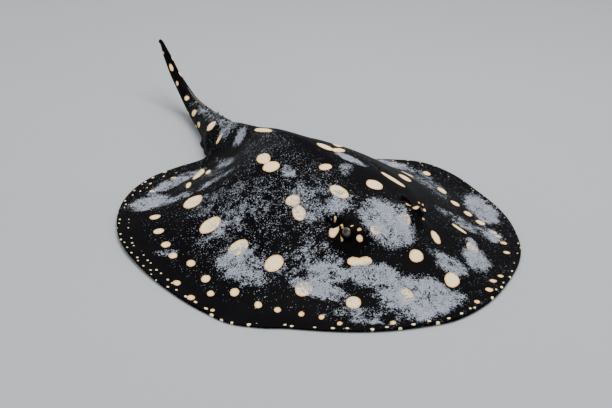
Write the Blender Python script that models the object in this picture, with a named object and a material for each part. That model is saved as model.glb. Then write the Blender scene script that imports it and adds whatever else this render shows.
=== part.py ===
"""A black river stingray with cream spots, life size, lying flat on the floor.

Metres, +Z up.  The animal faces -Y, its left side is +X, and the origin is on the floor
under the centre of its disc.  Body, fins and tail are patches of one set of surface rules,
parted by thin gaps, so neighbouring pieces follow each other exactly.
"""
import math

import bmesh
import bpy
from mathutils import Matrix, Vector

# ---- driving dimensions, in metres ----------------------------------------------------
GAP = 0.0003              # clearance between pieces that touch
CURVED_GAP = 0.00045      # the same where faceted curves face each other
DISC_RADIUS = 0.218       # mean radius of the disc, from the middle of its belly
MARGIN = 0.0026           # thickness of the fins at their edge
DOME_HEIGHT = 0.079       # height of the disc's dome at its top
DOME_BACK = 0.020         # how far behind the origin the dome has its top
BODY_HALF_WIDTH = 0.076   # where the fins leave the head and trunk
BODY_FRONT = 0.170        # front end of the head, ahead of the origin
BODY_REAR = 0.228         # where the trunk's sides would meet behind the origin
NECK = -0.036             # parting line between head and trunk
TAIL_START = 0.214        # parting line between trunk and tail
BACK_HEIGHT = 0.085       # highest point of the back's ridge

# Disc margin: radius as a share of DISC_RADIUS against bearing from the snout, in degrees.
# The right fin is spread a little wider than the left one.
OUTLINE_RIGHT = ((0, 0.974), (11, 0.953), (32, 0.933), (45, 0.941), (52, 0.974), (60, 1.002),
                 (68, 0.990), (82, 0.980), (95, 0.995), (112, 1.036), (132, 1.060),
                 (148, 1.048), (160, 1.014), (173, 1.000))
OUTLINE_LEFT = ((0, 0.974), (12, 0.968), (27, 0.956), (44, 0.966), (60, 0.963), (84, 0.975),
                (101, 0.987), (114, 0.964), (127, 0.922), (140, 0.907), (156, 0.938),
                (173, 1.000))

# Ridge of the back: height against distance behind the origin.
RIDGE = ((-0.216, 0.0035), (-0.180, 0.013), (-0.140, 0.033), (-0.095, 0.056),
         (-0.045, 0.071), (0.010, 0.082), (0.055, BACK_HEIGHT), (0.085, 0.081),
         (0.115, 0.0755), (0.150, 0.065), (0.186, 0.057), (TAIL_START, 0.049),
         (0.250, 0.042))
RIDGE_WIDTH = ((-0.214, 0.050), (-0.095, 0.062), (0.0, 0.066), (0.045, 0.064), (0.090, 0.052),
               (0.150, 0.034), (TAIL_START, 0.024))

# How far the fin margin is raised off the floor, right side and left side, against bearing.
LIFT_RIGHT = ((0, 0.0), (70, 0.0), (100, 0.002), (130, 0.005), (160, 0.005), (175, 0.002))
LIFT_LEFT = ((0, 0.0), (30, 0.001), (60, 0.002), (84, 0.001), (98, 0.005), (110, 0.007),
             (121, 0.003), (131, 0.0), (155, 0.0), (175, 0.002))
LIFT_STARTS = 0.80        # share of the radius where the margin starts to turn up

EYE_X, EYE_Y = 0.038, -0.093
EYE_RADIUS = 0.0074
EYE_MOUND_HEIGHT = 0.0100
EYE_MOUND_RADIUS = 0.024
EYE_OUT = 0.0050          # how far the eyeball's centre lies outwards of the mound's middle
EYE_SUNK = 0.62           # depth of the eyeball's centre under the skin, in radii
SPIRACLE_X, SPIRACLE_Y = 0.047, -0.072
SPIRACLE_SIZE = (0.0062, 0.0110, 0.0080)
SPIRACLE_TURN = math.radians(-28)

MOUTH_Y = -0.148
MOUTH_SIZE = (0.018, 0.0022, 0.0030)
NOSTRIL_X, NOSTRIL_Y = 0.0135, -0.158
NOSTRIL_SIZE = (0.0040, 0.0022, 0.0024)
NOSTRIL_TURN = math.radians(-30)
GILL_PAIRS = 5
GILL_FIRST, GILL_STEP = -0.108, 0.0165
GILL_X_FRONT, GILL_X_REAR = 0.046, 0.040
GILL_SIZE = (0.0065, 0.0009, 0.0020)
GILL_TURN_FRONT, GILL_TURN_REAR = math.radians(18), math.radians(-12)
CLOACA_Y = 0.168
CLOACA_SIZE = (0.0045, 0.0090, 0.0026)

# Tail stations: distance behind the origin, sideways, height of the middle, half width,
# half height.
TAIL = ((TAIL_START, 0.0, 0.0245, 0.0260, 0.0245),
        (0.245, 0.0070, 0.0205, 0.0225, 0.0205),
        (0.285, 0.0150, 0.0170, 0.0185, 0.0170),
        (0.325, 0.0210, 0.0158, 0.0145, 0.0145),
        (0.360, 0.0245, 0.0215, 0.0105, 0.0105),
        (0.394, 0.0265, 0.0355, 0.0078, 0.0080),
        (0.420, 0.0285, 0.0475, 0.0064, 0.0068),
        (0.447, 0.0310, 0.0640, 0.0050, 0.0055),
        (0.474, 0.0335, 0.0770, 0.0022, 0.0026))
TAIL_MIDDLE_FROM, TAIL_TIP_FROM = 0.292, 0.386
TAIL_BLEND = 0.035        # length over which the trunk's section turns into the tail's
TAIL_FLAT_TO, TAIL_ROUND_FROM = 0.262, 0.330     # the flat underside of the tail fades here

FOLD_THICKNESS = 0.0014
FOLD_UPPER = (0.396, 0.473, 0.0045)     # from, to, height
FOLD_LOWER = (0.388, 0.473, 0.0040)

STING_FROM, STING_LENGTH = 0.322, 0.058
STING_WIDTH, STING_THICKNESS = 0.0044, 0.0018
STING_BARBS = 11
STING_BARB_DEPTH = 0.0006
STING_CLEAR, STING_RISE = 0.0005, 0.0030   # above the tail at its root, and more at its point

THORN_ROWS = ((0.226, 0.002), (0.235, -0.003), (0.244, 0.003), (0.253, -0.001),
              (0.262, 0.004), (0.270, -0.003), (0.279, 0.001))
THORN_RADIUS, THORN_POINT, THORN_HEIGHT = 0.0024, 0.0003, 0.0042
THORN_ROOT, THORN_SUNK = 0.003, 0.0018      # inside the tail, and its middle below the skin
THORN_LEAN = math.radians(35)

PELVIC_FROM, PELVIC_TO = 0.2250, 0.276
PELVIC_ROWS = 12
PELVIC_WIDTH, PELVIC_LEAST = 0.0062, 0.0012
PELVIC_ENDS = (-1.0, 0.8)         # front and rear of the fin on an outline closed at -1 and 1
PELVIC_SQUARENESS = 2.5
PELVIC_THICK, PELVIC_EDGE = 0.0050, 0.0016

# Mesh density
BEARINGS_FINE, BEARINGS_COARSE = 3.2, 6.4     # degrees between rows, head and elsewhere
FIN_COLUMNS = 10
FIN_CROWDING = 0.85       # under 1, columns stand closer together towards the margin
BODY_COLUMNS = 18
TAIL_SIDES = 16
TAIL_STEP = 0.0105

COLOURS = {
    "skin": ((0.012, 0.011, 0.013), 0.45),
    "skin_tail": ((0.016, 0.014, 0.016), 0.48),
    "eye": ((0.02, 0.02, 0.02), 0.12),
    "sting": ((0.45, 0.38, 0.26), 0.40),
}


# ---- curves ---------------------------------------------------------------------------
def through(points, t):
    """Value at t of a smooth curve through (t, value) points, held flat past its ends."""
    if t <= points[0][0]:
        return points[0][1]
    if t >= points[-1][0]:
        return points[-1][1]
    k = max(i for i, p in enumerate(points) if p[0] <= t)
    (t0, v0), (t1, v1) = points[k], points[k + 1]
    before = points[k - 1] if k > 0 else (2 * t0 - t1, v1)
    after = points[k + 2] if k + 2 < len(points) else (2 * t1 - t0, v0)
    m0 = (v1 - before[1]) / (t1 - before[0])
    m1 = (after[1] - v0) / (after[0] - t0)
    step = t1 - t0
    s = (t - t0) / step
    return ((2 * s ** 3 - 3 * s ** 2 + 1) * v0 + (s ** 3 - 2 * s ** 2 + s) * step * m0
            + (3 * s ** 2 - 2 * s ** 3) * v1 + (s ** 3 - s ** 2) * step * m1)


def ease(s):
    """0 to 1 with level ends."""
    s = min(max(s, 0.0), 1.0)
    return s * s * (3 - 2 * s)


def disc_radius(bearing):
    """Radius of the disc margin; the bearing is in degrees, from the snout."""
    outline = OUTLINE_LEFT if bearing > 0 else OUTLINE_RIGHT
    return DISC_RADIUS * through(outline, abs(bearing))


def body_radius(bearing):
    """Radius of the line where the fins leave the head and trunk: two half ellipses."""
    a = math.radians(bearing)
    length = BODY_FRONT if abs(bearing) < 90 else BODY_REAR
    return 1 / math.hypot(math.sin(a) / BODY_HALF_WIDTH, math.cos(a) / length)


def polar(bearing, radius):
    """Plan position from a bearing off the snout (left is positive) and a radius."""
    a = math.radians(bearing)
    return radius * math.sin(a), -radius * math.cos(a)


# ---- surface of the back and belly ----------------------------------------------------
def bearing_of(x, y):
    """Bearing of a plan position off the snout, in degrees, positive to the left."""
    return math.degrees(math.atan2(x, -y)) if (x or y) else 0.0


def margin_lift(x, y):
    """How far the fin is raised off the floor at this point."""
    bearing = bearing_of(x, y)
    share = math.hypot(x, y) / disc_radius(bearing)
    lift = through(LIFT_LEFT if bearing > 0 else LIFT_RIGHT, abs(bearing))
    return max(lift, 0.0) * ease((share - LIFT_STARTS) / (1 - LIFT_STARTS))


def dome_height(x, y):
    """Height of the plain dome of the disc, without ridge, eyes or raised margins."""
    share = min(math.hypot(x, y) / disc_radius(bearing_of(x, y)), 1.0)
    y -= DOME_BACK * (1 - share ** 2)
    share = min(math.hypot(x, y) / disc_radius(bearing_of(x, y)), 1.0)
    return MARGIN + (DOME_HEIGHT - MARGIN) * (1 + math.cos(math.pi * share)) / 2


def back_height(x, y):
    """Height of the top surface over a point of the disc."""
    ridge = max(through(RIDGE, y) - dome_height(0.0, y), 0.0)
    z = dome_height(x, y) + ridge * math.exp(-(x / through(RIDGE_WIDTH, y)) ** 2)
    for side in (-1, 1):
        away = math.hypot(x - side * EYE_X, y - EYE_Y) / EYE_MOUND_RADIUS
        if away < 1:
            z += EYE_MOUND_HEIGHT * (1 - away ** 2) ** 2
    return z + margin_lift(x, y)


def belly_height(x, y):
    """Height of the underside: flat on the floor but for the raised margins."""
    return margin_lift(x, y)


def tail_at(y):
    """Middle, half width and half height of the tail at a distance behind the origin."""
    values = [through([(s[0], s[k]) for s in TAIL], y) for k in range(1, 5)]
    side, height, half_width, half_height = values
    return Vector((side, y, height)), half_width, half_height


def tail_axes(y):
    """The tail's own right and up directions at a distance behind the origin."""
    ahead = tail_at(y + 0.002)[0] - tail_at(y - 0.002)[0]
    along = ahead.normalized()
    across = Vector((0, 0, 1)).cross(along).normalized() * -1
    return across, across.cross(along).normalized()


def tail_ring(y):
    """Points of one tail section, from its left side over the top and round."""
    middle, half_width, half_height = tail_at(y)
    across, up = tail_axes(y)
    blend = 1 - ease((y - TAIL_START) / TAIL_BLEND)
    flat = 1 - ease((y - TAIL_FLAT_TO) / (TAIL_ROUND_FROM - TAIL_FLAT_TO))
    ring = []
    for k in range(TAIL_SIDES):
        a = 2 * math.pi * k / TAIL_SIDES
        wide, tall = math.cos(a), math.sin(a)
        if tall < -0.01:
            power = 1 - 0.5 * flat
            wide = math.copysign(abs(wide) ** power, wide)
            tall = -min(abs(tall) ** power * (1 + 0.05 * flat), 1.0)
        point = middle + across * half_width * wide + up * half_height * tall
        if blend > 0:
            top = back_height(point.x, TAIL_START)
            trunk_like = Vector((point.x, y, top if tall > -0.01 else 0.0))
            point = point.lerp(trunk_like, blend)
        ring.append(point)
    return ring


# ---- mesh helpers ---------------------------------------------------------------------
def material(name):
    """A plain Principled material from the colour list."""
    found = bpy.data.materials.get(name)
    if found:
        return found
    colour, roughness = COLOURS[name]
    made = bpy.data.materials.new(name)
    made.use_nodes = True
    shader = made.node_tree.nodes["Principled BSDF"]
    shader.inputs["Base Color"].default_value = (*colour, 1)
    shader.inputs["Roughness"].default_value = roughness
    shader.inputs["Metallic"].default_value = 0.0
    return made


def add_object(name, mesh_data, material_name):
    """Link a finished bmesh as a named object with one material."""
    bmesh.ops.remove_doubles(mesh_data, verts=mesh_data.verts, dist=0.00002)
    if mesh_data.calc_volume(signed=True) < 0:
        bmesh.ops.reverse_faces(mesh_data, faces=mesh_data.faces)
    mesh = bpy.data.meshes.new(name)
    mesh_data.to_mesh(mesh)
    mesh_data.free()
    mesh.materials.append(material(material_name))
    mesh.shade_smooth()
    mesh.set_sharp_from_angle(angle=math.radians(50))
    part = bpy.data.objects.new(name, mesh)
    bpy.context.collection.objects.link(part)
    return part


def raised(plan_rows, height):
    """Plan rows with the heights of a surface rule."""
    return [[(x, y, height(x, y)) for x, y in row] for row in plan_rows]


def slab(name, top_rows, bottom_rows, material_name):
    """A closed solid between two matching grids of points."""
    mesh_data = bmesh.new()
    sheets = [[[mesh_data.verts.new(p) for p in row] for row in grid]
              for grid in (top_rows, bottom_rows)]
    rows, columns = len(top_rows), len(top_rows[0])
    for sheet, turn in zip(sheets, (1, -1)):
        for i in range(rows - 1):
            for j in range(columns - 1):
                mesh_data.faces.new((sheet[i][j], sheet[i][j + 1],
                                     sheet[i + 1][j + 1], sheet[i + 1][j])[::turn])
    edge = ([(i, 0) for i in range(rows)] + [(rows - 1, j) for j in range(1, columns)]
            + [(i, columns - 1) for i in range(rows - 2, -1, -1)]
            + [(0, j) for j in range(columns - 2, 0, -1)])
    for k, (i, j) in enumerate(edge):
        i2, j2 = edge[(k + 1) % len(edge)]
        mesh_data.faces.new((sheets[0][i][j], sheets[0][i2][j2],
                             sheets[1][i2][j2], sheets[1][i][j]))
    return add_object(name, mesh_data, material_name)


def loft(name, rings, material_name):
    """A closed solid through rings of points, with flat ends."""
    mesh_data = bmesh.new()
    loops = [[mesh_data.verts.new(p) for p in ring] for ring in rings]
    count = len(rings[0])
    for a, b in zip(loops, loops[1:]):
        for k in range(count):
            n = (k + 1) % count
            mesh_data.faces.new((a[k], a[n], b[n], b[k]))
    mesh_data.faces.new(loops[0][::-1])
    mesh_data.faces.new(loops[-1])
    return add_object(name, mesh_data, material_name)


def ellipsoid(name, centre, radii, turn=0.0, segments=12, rings=8):
    """A rounded cutter or ball."""
    mesh_data = bmesh.new()
    bmesh.ops.create_uvsphere(mesh_data, u_segments=segments, v_segments=rings, radius=1.0)
    matrix = Matrix.Translation(centre) @ Matrix.Rotation(turn, 4, "Z") @ Matrix.Diagonal((*radii, 1))
    bmesh.ops.transform(mesh_data, matrix=matrix, verts=mesh_data.verts)
    return add_object(name, mesh_data, "eye")


def cut(part, cutter):
    """Take a cutter out of a part; the cutter stays as a hidden guide."""
    cutter.hide_render = True
    cutter.display_type = "WIRE"
    modifier = part.modifiers.new("Cut", "BOOLEAN")
    modifier.operation = "DIFFERENCE"
    modifier.solver = "EXACT"
    modifier.object = cutter


# ---- pieces ---------------------------------------------------------------------------
def bearing_rows():
    """Bearings of the rows shared by the fins and the body, from snout to tail."""
    end = 180 - math.degrees(math.atan2(tail_side(), TAIL_START))
    rows = [0.0]
    while rows[-1] < end - 0.5:
        step = BEARINGS_FINE if 8 < rows[-1] < 62 else BEARINGS_COARSE
        rows.append(min(rows[-1] + step, end))
    return rows


def tail_side():
    """Half width of the trunk at its rear end."""
    return BODY_HALF_WIDTH * math.sqrt(1 - (TAIL_START / BODY_REAR) ** 2)


def body_piece(name, bearings):
    """Head or trunk: rows across the body between its two sides."""
    rows = []
    for bearing in bearings:
        x, y = polar(bearing, body_radius(bearing))
        rows.append([(x * (2 * j / BODY_COLUMNS - 1), y) for j in range(BODY_COLUMNS + 1)])
    return slab(name, raised(rows, back_height), raised(rows, belly_height), "skin")


def fin_piece(name, side, bearings):
    """A pectoral fin: rows from the side of the body out to the margin."""
    rows = []
    for k, bearing in enumerate(bearings):
        inner = body_radius(bearing) + CURVED_GAP
        outer = disc_radius(side * bearing)
        row = []
        for j in range(FIN_COLUMNS + 1):
            share = (j / FIN_COLUMNS) ** FIN_CROWDING
            x, y = polar(side * bearing, inner + (outer - inner) * share)
            if k == 0:
                x = side * GAP / 2
            row.append((x, y))
        rows.append(row)
    return slab(name, raised(rows, back_height), raised(rows, belly_height), "skin")


def build_disc():
    """Head, trunk and the two fins round them."""
    bearings = bearing_rows()
    neck = min(bearings, key=lambda b: abs(polar(b, body_radius(b))[1] - NECK))
    split = bearings.index(neck)
    head = body_piece("head", bearings[:split + 1])
    trunk = body_piece("trunk", bearings[split:])
    for vertex in trunk.data.vertices:
        if vertex.co.y < polar(neck, body_radius(neck))[1] + 0.0001:
            vertex.co.y += GAP
    for vertex in trunk.data.vertices:
        if vertex.co.y > TAIL_START - 0.0001:
            vertex.co.y -= GAP
    fin_piece("pectoral_fin_left", 1, bearings)
    fin_piece("pectoral_fin_right", -1, bearings)
    return head, trunk


def build_eyes(head):
    """Eyeballs sunk in the outer side of the two mounds."""
    for side, label in ((1, "left"), (-1, "right")):
        x = side * (EYE_X + EYE_OUT)
        centre = Vector((x, EYE_Y, back_height(x, EYE_Y) - EYE_RADIUS * EYE_SUNK))
        eye = ellipsoid("eye_" + label, centre, (EYE_RADIUS,) * 3, segments=16, rings=10)
        eye.data.materials[0] = material("eye")
        socket = ellipsoid("socket_" + label, centre, (EYE_RADIUS + CURVED_GAP,) * 3,
                           segments=16, rings=10)
        cut(head, socket)


def build_openings(head, trunk):
    """Spiracles on the back; mouth, nostrils, gill slits and vent on the belly."""
    for side, label in ((1, "left"), (-1, "right")):
        x, y = side * SPIRACLE_X, SPIRACLE_Y
        hole = ellipsoid("spiracle_" + label, (x, y, back_height(x, y)), SPIRACLE_SIZE,
                         turn=side * SPIRACLE_TURN)
        cut(head, hole)
        cut(head, ellipsoid("nostril_" + label, (side * NOSTRIL_X, NOSTRIL_Y, 0), NOSTRIL_SIZE,
                            turn=side * NOSTRIL_TURN, segments=10, rings=6))
        for k in range(GILL_PAIRS):
            share = k / (GILL_PAIRS - 1)
            gill_x = side * (GILL_X_FRONT + (GILL_X_REAR - GILL_X_FRONT) * share)
            gill_y = GILL_FIRST + GILL_STEP * k
            turn = side * (GILL_TURN_FRONT + (GILL_TURN_REAR - GILL_TURN_FRONT) * share)
            slit = ellipsoid(f"gill_{label}_{k}", (gill_x, gill_y, 0), GILL_SIZE, turn=turn,
                             segments=10, rings=6)
            cut(head if gill_y < NECK else trunk, slit)
    cut(head, ellipsoid("mouth", (0, MOUTH_Y, 0), MOUTH_SIZE))
    cut(trunk, ellipsoid("vent", (0, CLOACA_Y, 0), CLOACA_SIZE, segments=10, rings=6))


def tail_stations(start, end):
    """Evenly spaced distances along one length of tail."""
    count = max(round((end - start) / TAIL_STEP), 2)
    return [start + (end - start) * k / count for k in range(count + 1)]


def build_tail():
    """Three lengths of tail, thorns on the first."""
    end = TAIL[-1][0]
    root = loft("tail_root", [tail_ring(y) for y in tail_stations(TAIL_START, TAIL_MIDDLE_FROM)],
                "skin_tail")
    loft("tail_middle", [tail_ring(y) for y in tail_stations(TAIL_MIDDLE_FROM + GAP,
                                                           TAIL_TIP_FROM)], "skin_tail")
    loft("tail_tip", [tail_ring(y) for y in tail_stations(TAIL_TIP_FROM + GAP, end)],
         "skin_tail")
    for k, (y, x) in enumerate(THORN_ROWS):
        add_thorn(root, k, x, y)


def add_thorn(root, index, x, y):
    """A small thorn leaning back, joined to the tail."""
    middle, half_width, half_height = tail_at(y)
    top = middle.z + half_height * math.sqrt(1 - (x / half_width) ** 2)
    x += middle.x
    mesh_data = bmesh.new()
    bmesh.ops.create_cone(mesh_data, cap_ends=True, segments=6, radius1=THORN_RADIUS,
                          radius2=THORN_POINT, depth=THORN_HEIGHT + THORN_ROOT)
    lean = Matrix.Rotation(-THORN_LEAN, 4, "X")
    place = Matrix.Translation((x, y, top + THORN_HEIGHT / 2 - THORN_SUNK))
    bmesh.ops.transform(mesh_data, matrix=place @ lean, verts=mesh_data.verts)
    thorn = add_object(f"thorn_{index}", mesh_data, "skin_tail")
    thorn.hide_render = True
    thorn.display_type = "WIRE"
    modifier = root.modifiers.new("Join", "BOOLEAN")
    modifier.operation = "UNION"
    modifier.solver = "EXACT"
    modifier.object = thorn


def build_fold(name, limits, direction):
    """A thin fin fold along the top or the underside of the tail's end."""
    start, end, height = limits
    rings = []
    for y in tail_stations(TAIL_TIP_FROM + GAP, TAIL[-1][0]):
        if not start <= y <= end:
            continue
        middle, _, half_height = tail_at(y)
        across, up = tail_axes(y)
        share = min(max((y - start) / (end - start), 0.0), 1.0)
        tall = height * math.sin(math.pi * (0.06 + 0.88 * share)) ** 0.6
        foot = middle + up * direction * (half_height + CURVED_GAP)
        half = across * FOLD_THICKNESS / 2
        crest = foot + up * direction * tall
        rings.append([foot - half, foot + half, crest + half * 0.6, crest - half * 0.6])
    loft(name, rings, "skin_tail")


def build_sting():
    """A flat, barbed sting lying along the top of the tail, its point free."""
    rings = []
    count = STING_BARBS * 2
    for k in range(count + 1):
        share = k / count
        y = STING_FROM + STING_LENGTH * share
        middle, _, half_height = tail_at(y)
        across, up = tail_axes(y)
        half_thick = STING_THICKNESS / 2 * (1 - 0.7 * share)
        clear = half_thick + STING_CLEAR + STING_RISE * share
        point = middle + up * (half_height + clear)
        half_width = STING_WIDTH / 2 * (1 - share ** 2.2) + 0.0003
        if 2 < k < count and k % 2:
            half_width += STING_BARB_DEPTH
        side = across * half_width
        rings.append([point - side, point - up * half_thick, point + side,
                      point + up * half_thick])
    loft("sting", rings, "sting")


def pelvic_foot(y, side):
    """Point on the floor beside the tail, clear of its side, and the direction outwards."""
    middle = tail_at(y)[0]
    out = tail_axes(y)[0] * side
    wall = max((p - middle).dot(out) for p in tail_ring(y))
    return Vector((middle.x, middle.y, 0)) + out * (wall + CURVED_GAP), out


def build_pelvic_fins():
    """Small rounded fins beside the root of the tail, behind the disc."""
    stations = tail_stations(TAIL_START, TAIL_MIDDLE_FROM)
    for side, label in ((1, "left"), (-1, "right")):
        top_rows, bottom_rows = [], []
        for k in range(PELVIC_ROWS + 1):
            share = k / PELVIC_ROWS
            y = PELVIC_FROM + (PELVIC_TO - PELVIC_FROM) * share
            before = max(i for i, station in enumerate(stations) if station <= y)
            (foot_a, out_a), (foot_b, out_b) = (pelvic_foot(stations[before + i], side)
                                                for i in (0, 1))
            blend = (y - stations[before]) / (stations[before + 1] - stations[before])
            foot, out = foot_a.lerp(foot_b, blend), out_a.lerp(out_b, blend)
            across = PELVIC_ENDS[0] + (PELVIC_ENDS[1] - PELVIC_ENDS[0]) * share
            roundness = max(1 - abs(across) ** PELVIC_SQUARENESS, 0.0)
            wide = PELVIC_WIDTH * math.sqrt(roundness) + PELVIC_LEAST
            thick = PELVIC_THICK + (PELVIC_EDGE - PELVIC_THICK) * share
            bottom_rows.append([foot + out * wide * j / 3 for j in range(4)])
            top_rows.append([p + Vector((0, 0, thick + (PELVIC_EDGE - thick) * j / 3))
                             for j, p in enumerate(bottom_rows[-1])])
        slab("pelvic_fin_" + label, top_rows, bottom_rows, "skin")


def main():
    for old in list(bpy.data.objects):
        bpy.data.objects.remove(old)
    head, trunk = build_disc()
    build_eyes(head)
    build_openings(head, trunk)
    build_tail()
    build_fold("tail_fold_upper", FOLD_UPPER, 1)
    build_fold("tail_fold_lower", FOLD_LOWER, -1)
    build_sting()
    build_pelvic_fins()


if __name__ == "__main__":
    main()
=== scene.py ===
"""A black river stingray with cream spots, life size, lying on the floor: its finished surfaces.

Metres, +Z up.  The animal faces -Y, its left side is +X, and the origin is on the floor under
the centre of its disc.  One skin covers head, trunk, fins and tail.  The eyes, the sting and the
thorns are pieces of their own.
"""
import math

import bpy
import numpy as np
from bpy.props import FloatProperty, FloatVectorProperty, IntProperty, PointerProperty
from mathutils import Matrix, Vector, geometry, kdtree


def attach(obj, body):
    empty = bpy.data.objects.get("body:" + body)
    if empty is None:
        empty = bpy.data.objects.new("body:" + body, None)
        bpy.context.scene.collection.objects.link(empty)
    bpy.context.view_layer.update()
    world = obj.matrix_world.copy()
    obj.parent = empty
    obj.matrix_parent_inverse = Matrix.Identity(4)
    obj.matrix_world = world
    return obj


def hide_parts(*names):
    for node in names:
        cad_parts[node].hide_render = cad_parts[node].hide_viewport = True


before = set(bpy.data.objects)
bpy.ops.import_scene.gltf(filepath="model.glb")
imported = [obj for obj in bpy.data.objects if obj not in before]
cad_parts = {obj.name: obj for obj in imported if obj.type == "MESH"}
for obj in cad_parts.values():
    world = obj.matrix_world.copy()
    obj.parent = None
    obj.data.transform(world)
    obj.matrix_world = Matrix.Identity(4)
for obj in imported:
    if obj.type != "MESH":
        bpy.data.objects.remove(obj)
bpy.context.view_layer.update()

bl_info = {
    "name": "Spotted River Stingray",
    "version": (1, 0, 0),
    "blender": (4, 5, 0),
    "location": "View3D > Sidebar > Stingray",
    "description": "Builds a life-size spotted river stingray on a plain floor",
    "category": "Object",
}

FLESH = ("head", "trunk", "pectoral_fin_left", "pectoral_fin_right", "pelvic_fin_left",
         "pelvic_fin_right", "tail_root", "tail_middle", "tail_tip", "tail_fold_upper",
         "tail_fold_lower")
MM = 0.001

# ---- the body's shape, the same rules as the solids follow, in metres ----
DISC_RADIUS = 0.218       # mean radius of the disc
MARGIN = 0.0026           # thickness of the fins at their edge
DOME_HEIGHT = 0.079       # height of the disc's dome at its top
DOME_BACK = 0.020         # how far behind the origin the dome has its top
BACK_HEIGHT = 0.085       # highest point of the back's ridge
TAIL_START = 0.214        # where the trunk passes into the tail

# Disc margin: radius as a share of DISC_RADIUS against bearing from the snout, in degrees.
OUTLINE_RIGHT = ((0, 0.974), (11, 0.953), (32, 0.933), (45, 0.941), (52, 0.974), (60, 1.002),
                 (68, 0.990), (82, 0.980), (95, 0.995), (112, 1.036), (132, 1.060),
                 (148, 1.048), (160, 1.014), (173, 1.000))
OUTLINE_LEFT = ((0, 0.974), (12, 0.968), (27, 0.956), (44, 0.966), (60, 0.963), (84, 0.975),
                (101, 0.987), (114, 0.964), (127, 0.922), (140, 0.907), (156, 0.938),
                (173, 1.000))

# Ridge of the back: height, and half width, against distance behind the origin.
RIDGE = ((-0.216, 0.0035), (-0.180, 0.013), (-0.140, 0.033), (-0.095, 0.056),
         (-0.045, 0.071), (0.010, 0.082), (0.055, BACK_HEIGHT), (0.085, 0.081),
         (0.115, 0.0755), (0.150, 0.065), (0.186, 0.057), (TAIL_START, 0.049),
         (0.250, 0.042))
RIDGE_WIDTH = ((-0.214, 0.050), (-0.095, 0.062), (0.0, 0.066), (0.045, 0.064), (0.090, 0.052),
               (0.150, 0.034), (TAIL_START, 0.024))

# How far the fin margin is raised off the floor against bearing, right side and left side.
LIFT_RIGHT = ((0, 0.0), (70, 0.0), (100, 0.002), (130, 0.005), (160, 0.005), (175, 0.002))
LIFT_LEFT = ((0, 0.0), (30, 0.001), (60, 0.002), (84, 0.001), (98, 0.005), (110, 0.007),
             (121, 0.003), (131, 0.0), (155, 0.0), (175, 0.002))
LIFT_STARTS = 0.80

EYE_X, EYE_Y = 0.038, -0.093
EYE_RADIUS = 0.0074
EYE_MOUND_HEIGHT = 0.0100
EYE_MOUND_RADIUS = 0.024
EYE_OUT = 0.0050
EYE_SUNK = 0.62

SPIRACLE_X, SPIRACLE_Y = 0.047, -0.072
SPIRACLE_ACROSS, SPIRACLE_ALONG, SPIRACLE_DEEP = 0.0062, 0.0110, 0.0080
SPIRACLE_TURN = -28       # degrees

# Tail stations: distance behind the origin, sideways, height, half width, half height.
TAIL = ((TAIL_START, 0.0, 0.0245, 0.0260, 0.0245),
        (0.245, 0.0070, 0.0205, 0.0225, 0.0205),
        (0.285, 0.0150, 0.0170, 0.0185, 0.0170),
        (0.325, 0.0210, 0.0158, 0.0145, 0.0145),
        (0.360, 0.0245, 0.0215, 0.0105, 0.0105),
        (0.394, 0.0265, 0.0355, 0.0078, 0.0080),
        (0.420, 0.0285, 0.0475, 0.0064, 0.0068),
        (0.447, 0.0310, 0.0640, 0.0050, 0.0055),
        (0.474, 0.0335, 0.0770, 0.0022, 0.0026))
TAIL_BLEND = 0.035
TAIL_FLAT_TO, TAIL_ROUND_FROM = 0.262, 0.330
TAIL_END = TAIL[-1][0]

FOLD_THICKNESS = 0.0014
FOLD_UPPER = (0.392, 0.476, 0.0045)     # from, to, height
FOLD_LOWER = (0.384, 0.476, 0.0040)
FOLD_NARROWS = (0.310, 0.370)           # the ridge of the tail draws in to a fold here

PELVIC_WIDTH = ((0.2165, 0.0), (0.2330, 0.0026), (0.2500, 0.0044), (0.2660, 0.0048),
                (0.2780, 0.0))
PELVIC_THICK, PELVIC_EDGE = 0.0046, 0.0016
PELVIC_CORNER, PELVIC_SPREAD = 38.0, 21.0     # degrees under the tail's side, and its reach
PELVIC_SWEEP = 0.006

STING_FROM, STING_LENGTH = 0.322, 0.058
STING_WIDTH, STING_THICKNESS = 0.0044, 0.0018
STING_CLEAR, STING_RISE = 0.0005, 0.0030


# ---- curves ----
def through(points, t):
    """Values at t of a smooth curve through (t, value) points, held flat past its ends."""
    knots, values = np.array(points, dtype=float).T
    slopes = np.zeros_like(values)
    slopes[1:-1] = (values[2:] - values[:-2]) / (knots[2:] - knots[:-2])
    t = np.clip(t, knots[0], knots[-1])
    k = np.clip(np.searchsorted(knots, t, side="right") - 1, 0, len(knots) - 2)
    step = knots[k + 1] - knots[k]
    s = (t - knots[k]) / step
    return ((2 * s ** 3 - 3 * s ** 2 + 1) * values[k] + (s ** 3 - 2 * s ** 2 + s) * step * slopes[k]
            + (3 * s ** 2 - 2 * s ** 3) * values[k + 1] + (s ** 3 - s ** 2) * step * slopes[k + 1])


def ease(s):
    """0 to 1 with level ends."""
    s = np.clip(s, 0.0, 1.0)
    return s * s * (3 - 2 * s)


def rise(value, low, high):
    """0 at low to 1 at high, with level ends; low may be the larger one."""
    return ease((value - low) / (high - low))


def bell(distance, width):
    """1 in the middle, falling away on both sides."""
    return np.exp(-(distance / width) ** 2)


def bearing_of(x, y):
    """Bearing of a plan position off the snout, in degrees, positive to the left."""
    return np.degrees(np.arctan2(x, -y))


def by_side(bearing, left, right):
    """A value that follows one curve on the left side and another one on the right."""
    away = abs(bearing)
    return np.where(bearing > 0, through(left, away), through(right, away))


def disc_radius(bearing):
    """Radius of the disc margin at a bearing."""
    return DISC_RADIUS * by_side(bearing, OUTLINE_LEFT, OUTLINE_RIGHT)


def radius_share(x, y):
    """0 at the origin, 1 at the disc margin."""
    return np.hypot(x, y) / disc_radius(bearing_of(x, y))


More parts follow.
